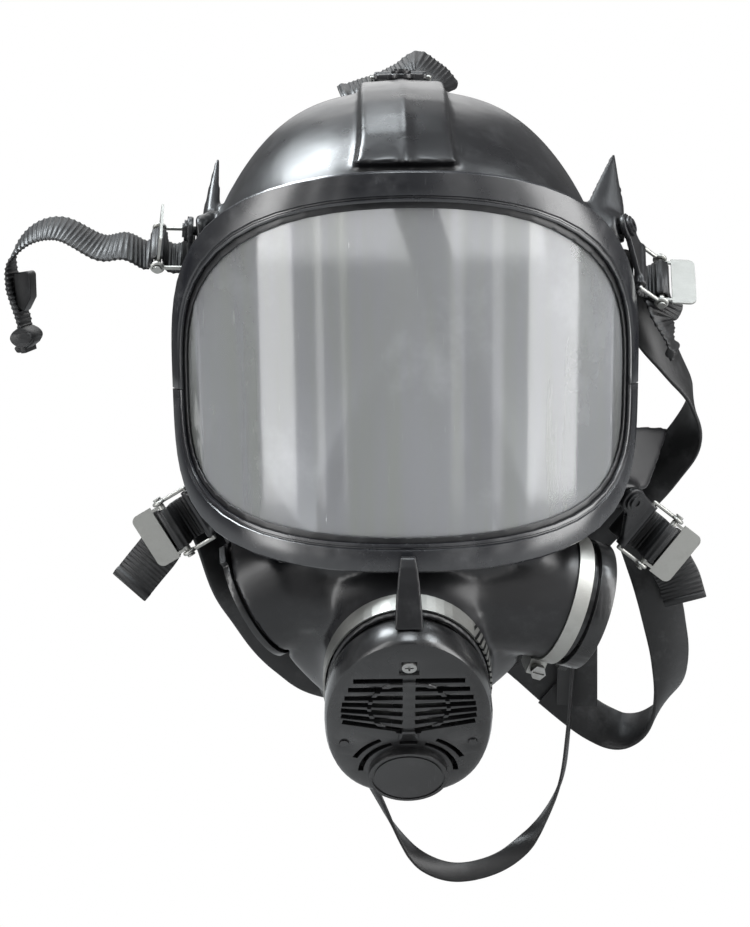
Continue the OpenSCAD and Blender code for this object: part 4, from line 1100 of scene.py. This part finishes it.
class MASK_OT_straps(bpy.types.Operator):
    """Makes the head straps, the neck strap and the pad behind the head"""

    bl_idname = "mask.straps"
    bl_label = "Head straps"

    def execute(self, context):
        for node in [f"strap_{corner}" for corner in CORNERS] + ["neck_strap"]:
            wide, thick = band_sizes(node)
            rings = band_rings(node, wide, thick, middle("face_body"))
            mesh = strap_mesh(node, rings, wide, thick)
            new_piece(f"{node}_band", mesh, strap_rubber(), ROOT, node)
        mesh = moulded("head_pad", voxel=0.8 * MM, passes=10, rounds=0, keep=0.5)
        new_piece("head_pad_soft", mesh, strap_rubber(), ROOT, "head_pad")
        return {"FINISHED"}


# ---------------------------------------------------------------- stage


def area_light(name, place, aim, wide, high, radiance, tint=(1, 1, 1)):
    """A soft light of that size at a place, which shines along aim."""
    data = bpy.data.lights.new(name, "AREA")
    data.shape = "RECTANGLE"
    data.size = wide
    data.size_y = high
    data.energy = radiance * math.pi * wide * high
    data.color = tint
    light = linked(name, data)
    light.location = place
    light.rotation_euler = aim.to_track_quat("-Z", "Y").to_euler()


def strip_light(name, azimuth, spread, radius, low, high, radiance):
    """An upright strip light on a circle round the object, as wide as the spread in degrees."""
    wide = 2 * radius * math.tan(math.radians(spread / 2))
    angle = math.radians(azimuth)
    place = (radius * math.sin(angle), -radius * math.cos(angle), (low + high) / 2)
    area_light(name, place, Vector((-math.sin(angle), math.cos(angle), 0)), wide, high - low, radiance)


def panel_light(name, place, target, size, radiance, tint=(1, 1, 1)):
    """A square light at a place, facing the target."""
    area_light(name, place, Vector(target) - Vector(place), size, size, radiance, tint)


class MASK_OT_stage(bpy.types.Operator):
    """Sets the floor, the lights and the camera"""

    bl_idname = "mask.stage"
    bl_label = "Stage"

    def execute(self, context):
        stage = settings()[2]
        scene = context.scene
        scene.view_settings.view_transform = "Standard"
        self.backdrop(scene, stage)
        self.lights(stage)
        self.camera(scene, stage)
        return {"FINISHED"}

    def backdrop(self, scene, stage):
        """A grey floor under the object and a plain surround, both white to the camera."""
        world = bpy.data.worlds.new("surround")
        world.use_nodes = True
        tree = world.node_tree
        path = add(tree, "ShaderNodeLightPath").outputs
        seen = maths(tree, "MAXIMUM", path["Is Camera Ray"], path["Is Transmission Ray"])
        level = maths(tree, "ADD", maths(tree, "MULTIPLY", seen, 1 - stage.ambient), stage.ambient)
        tree.links.new(level, tree.nodes["Background"].inputs["Strength"])
        tree.nodes["Background"].inputs["Color"].default_value = (1, 1, 1, 1)
        scene.world = world
        reach = 8.0
        mesh = bpy.data.meshes.new("floor")
        height = CAD_BOX[0][2] - 0.5 * MM
        corners = [(x * reach, y * reach, height) for x, y in ((-1, -1), (1, -1), (1, 1), (-1, 1))]
        mesh.from_pydata(corners, [], [(0, 1, 2, 3)])
        floor = linked("floor", mesh)
        material = bpy.data.materials.new("floor")
        material.use_nodes = True
        tree = material.node_tree
        principled = tree.nodes["Principled BSDF"]
        principled.inputs["Base Color"].default_value = rgba(stage.floor)
        principled.inputs["Roughness"].default_value = 0.8
        seen = add(tree, "ShaderNodeLightPath").outputs["Is Camera Ray"]
        white = add(tree, "ShaderNodeEmission", {"Color": (1, 1, 1, 1), "Strength": 1.0}).outputs[0]
        both = add(tree, "ShaderNodeMixShader", {0: seen, 1: principled.outputs[0], 2: white})
        tree.links.new(both.outputs[0], tree.nodes["Material Output"].inputs["Surface"])
        mesh.materials.append(material)

    def lights(self, stage):
        """Upright strips on both sides, which the lens mirrors as bands, and soft light from above."""
        floor = CAD_BOX[0][2]
        ceiling = 1.3
        radius = 1.05
        for name, azimuth, spread, share in (
            ("strip_left", -57, 17, 1.0),
            ("strip_left_thin", -36.5, 3, 0.5),
            ("strip_middle_left", -26, 2, 0.3),
            ("strip_middle", 22, 6, 0.28),
            ("strip_right_thin", 40, 5, 0.35),
            ("strip_right", 68, 27, 1.05),
        ):
            strip_light(name, azimuth, spread, radius, floor, ceiling, stage.strips * share)
        cool = (0.90, 0.96, 1.0)
        panel_light("overhead_left", (-0.62, 0.22, 1.0), (0, -0.03, 0.1), 0.45, 4.6 * stage.overhead, cool)
        panel_light("overhead_right", (0.75, -0.2, 0.95), (0, -0.05, 0.1), 0.34, 2.0 * stage.overhead, cool)
        panel_light("overhead_middle", (-0.1, 0.42, 1.15), (0, 0, 0.1), 0.3, 1.2 * stage.overhead, cool)
        panel_light("overhead_front", (0, -0.52, 1.15), (0, -0.12, -0.1), 0.45, 2.4 * stage.overhead, cool)
        panel_light("back", (0, 1.3, 0.9), (0, 0, 0), 0.9, 0.3 * stage.overhead)

    def camera(self, scene, stage):
        """The camera, in front of the object and a little above it."""
        target = Vector((-13.4, -60, -33)) * MM
        elevation = math.radians(10.45)
        roll = math.radians(-0.7)
        data = bpy.data.cameras.new("camera")
        data.sensor_fit = "VERTICAL"
        data.sensor_height = 36
        data.lens = 54.46
        camera = linked("camera", data)
        back = Vector((0, -math.cos(elevation), math.sin(elevation)))
        facing = (-back).to_track_quat("-Z", "Y").to_matrix().to_4x4()
        turn = facing @ Matrix.Rotation(roll, 4, "Z")
        camera.matrix_world = Matrix.Translation(target + back * stage.distance) @ turn
        scene.camera = camera


# ---------------------------------------------------------------- add-on

STEPS = (
    MASK_OT_face_body,
    MASK_OT_lens,
    MASK_OT_clamp_frame,
    MASK_OT_nose_cup,
    MASK_OT_chin_unit,
    MASK_OT_ports,
    MASK_OT_links,
    MASK_OT_buckles,
    MASK_OT_strap_ends,
    MASK_OT_straps,
    MASK_OT_stage,
)


class MASK_PT_panel(bpy.types.Panel):
    """The mask's settings and pieces"""

    bl_idname = "MASK_PT_panel"
    bl_label = "Breathing mask"
    bl_space_type = "VIEW_3D"
    bl_region_type = "UI"
    bl_category = "Mask"

    def draw(self, context):
        for title, group in zip(("Colours", "Sizes", "Stage"), settings()):
            box = self.layout.box()
            box.label(text=title)
            for key in group.__annotations__:
                box.prop(group, key)
        column = self.layout.column(align=True)
        for step in STEPS:
            column.operator(step.bl_idname)


CLASSES = (MaskColours, MaskSizes, MaskStage, *STEPS, MASK_PT_panel)


def register():
    for cls in CLASSES:
        bpy.utils.register_class(cls)
    bpy.types.Scene.mask_colours = PointerProperty(type=MaskColours)
    bpy.types.Scene.mask_sizes = PointerProperty(type=MaskSizes)
    bpy.types.Scene.mask_stage = PointerProperty(type=MaskStage)


def unregister():
    for name in ("mask_stage", "mask_sizes", "mask_colours"):
        delattr(bpy.types.Scene, name)
    for cls in reversed(CLASSES):
        bpy.utils.unregister_class(cls)


def main():
    """Registers the add-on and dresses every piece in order."""
    register()
    for step in STEPS:
        category, name = step.bl_idname.split(".")
        getattr(getattr(bpy.ops, category), name)()


if __name__ == "__main__":
    main()
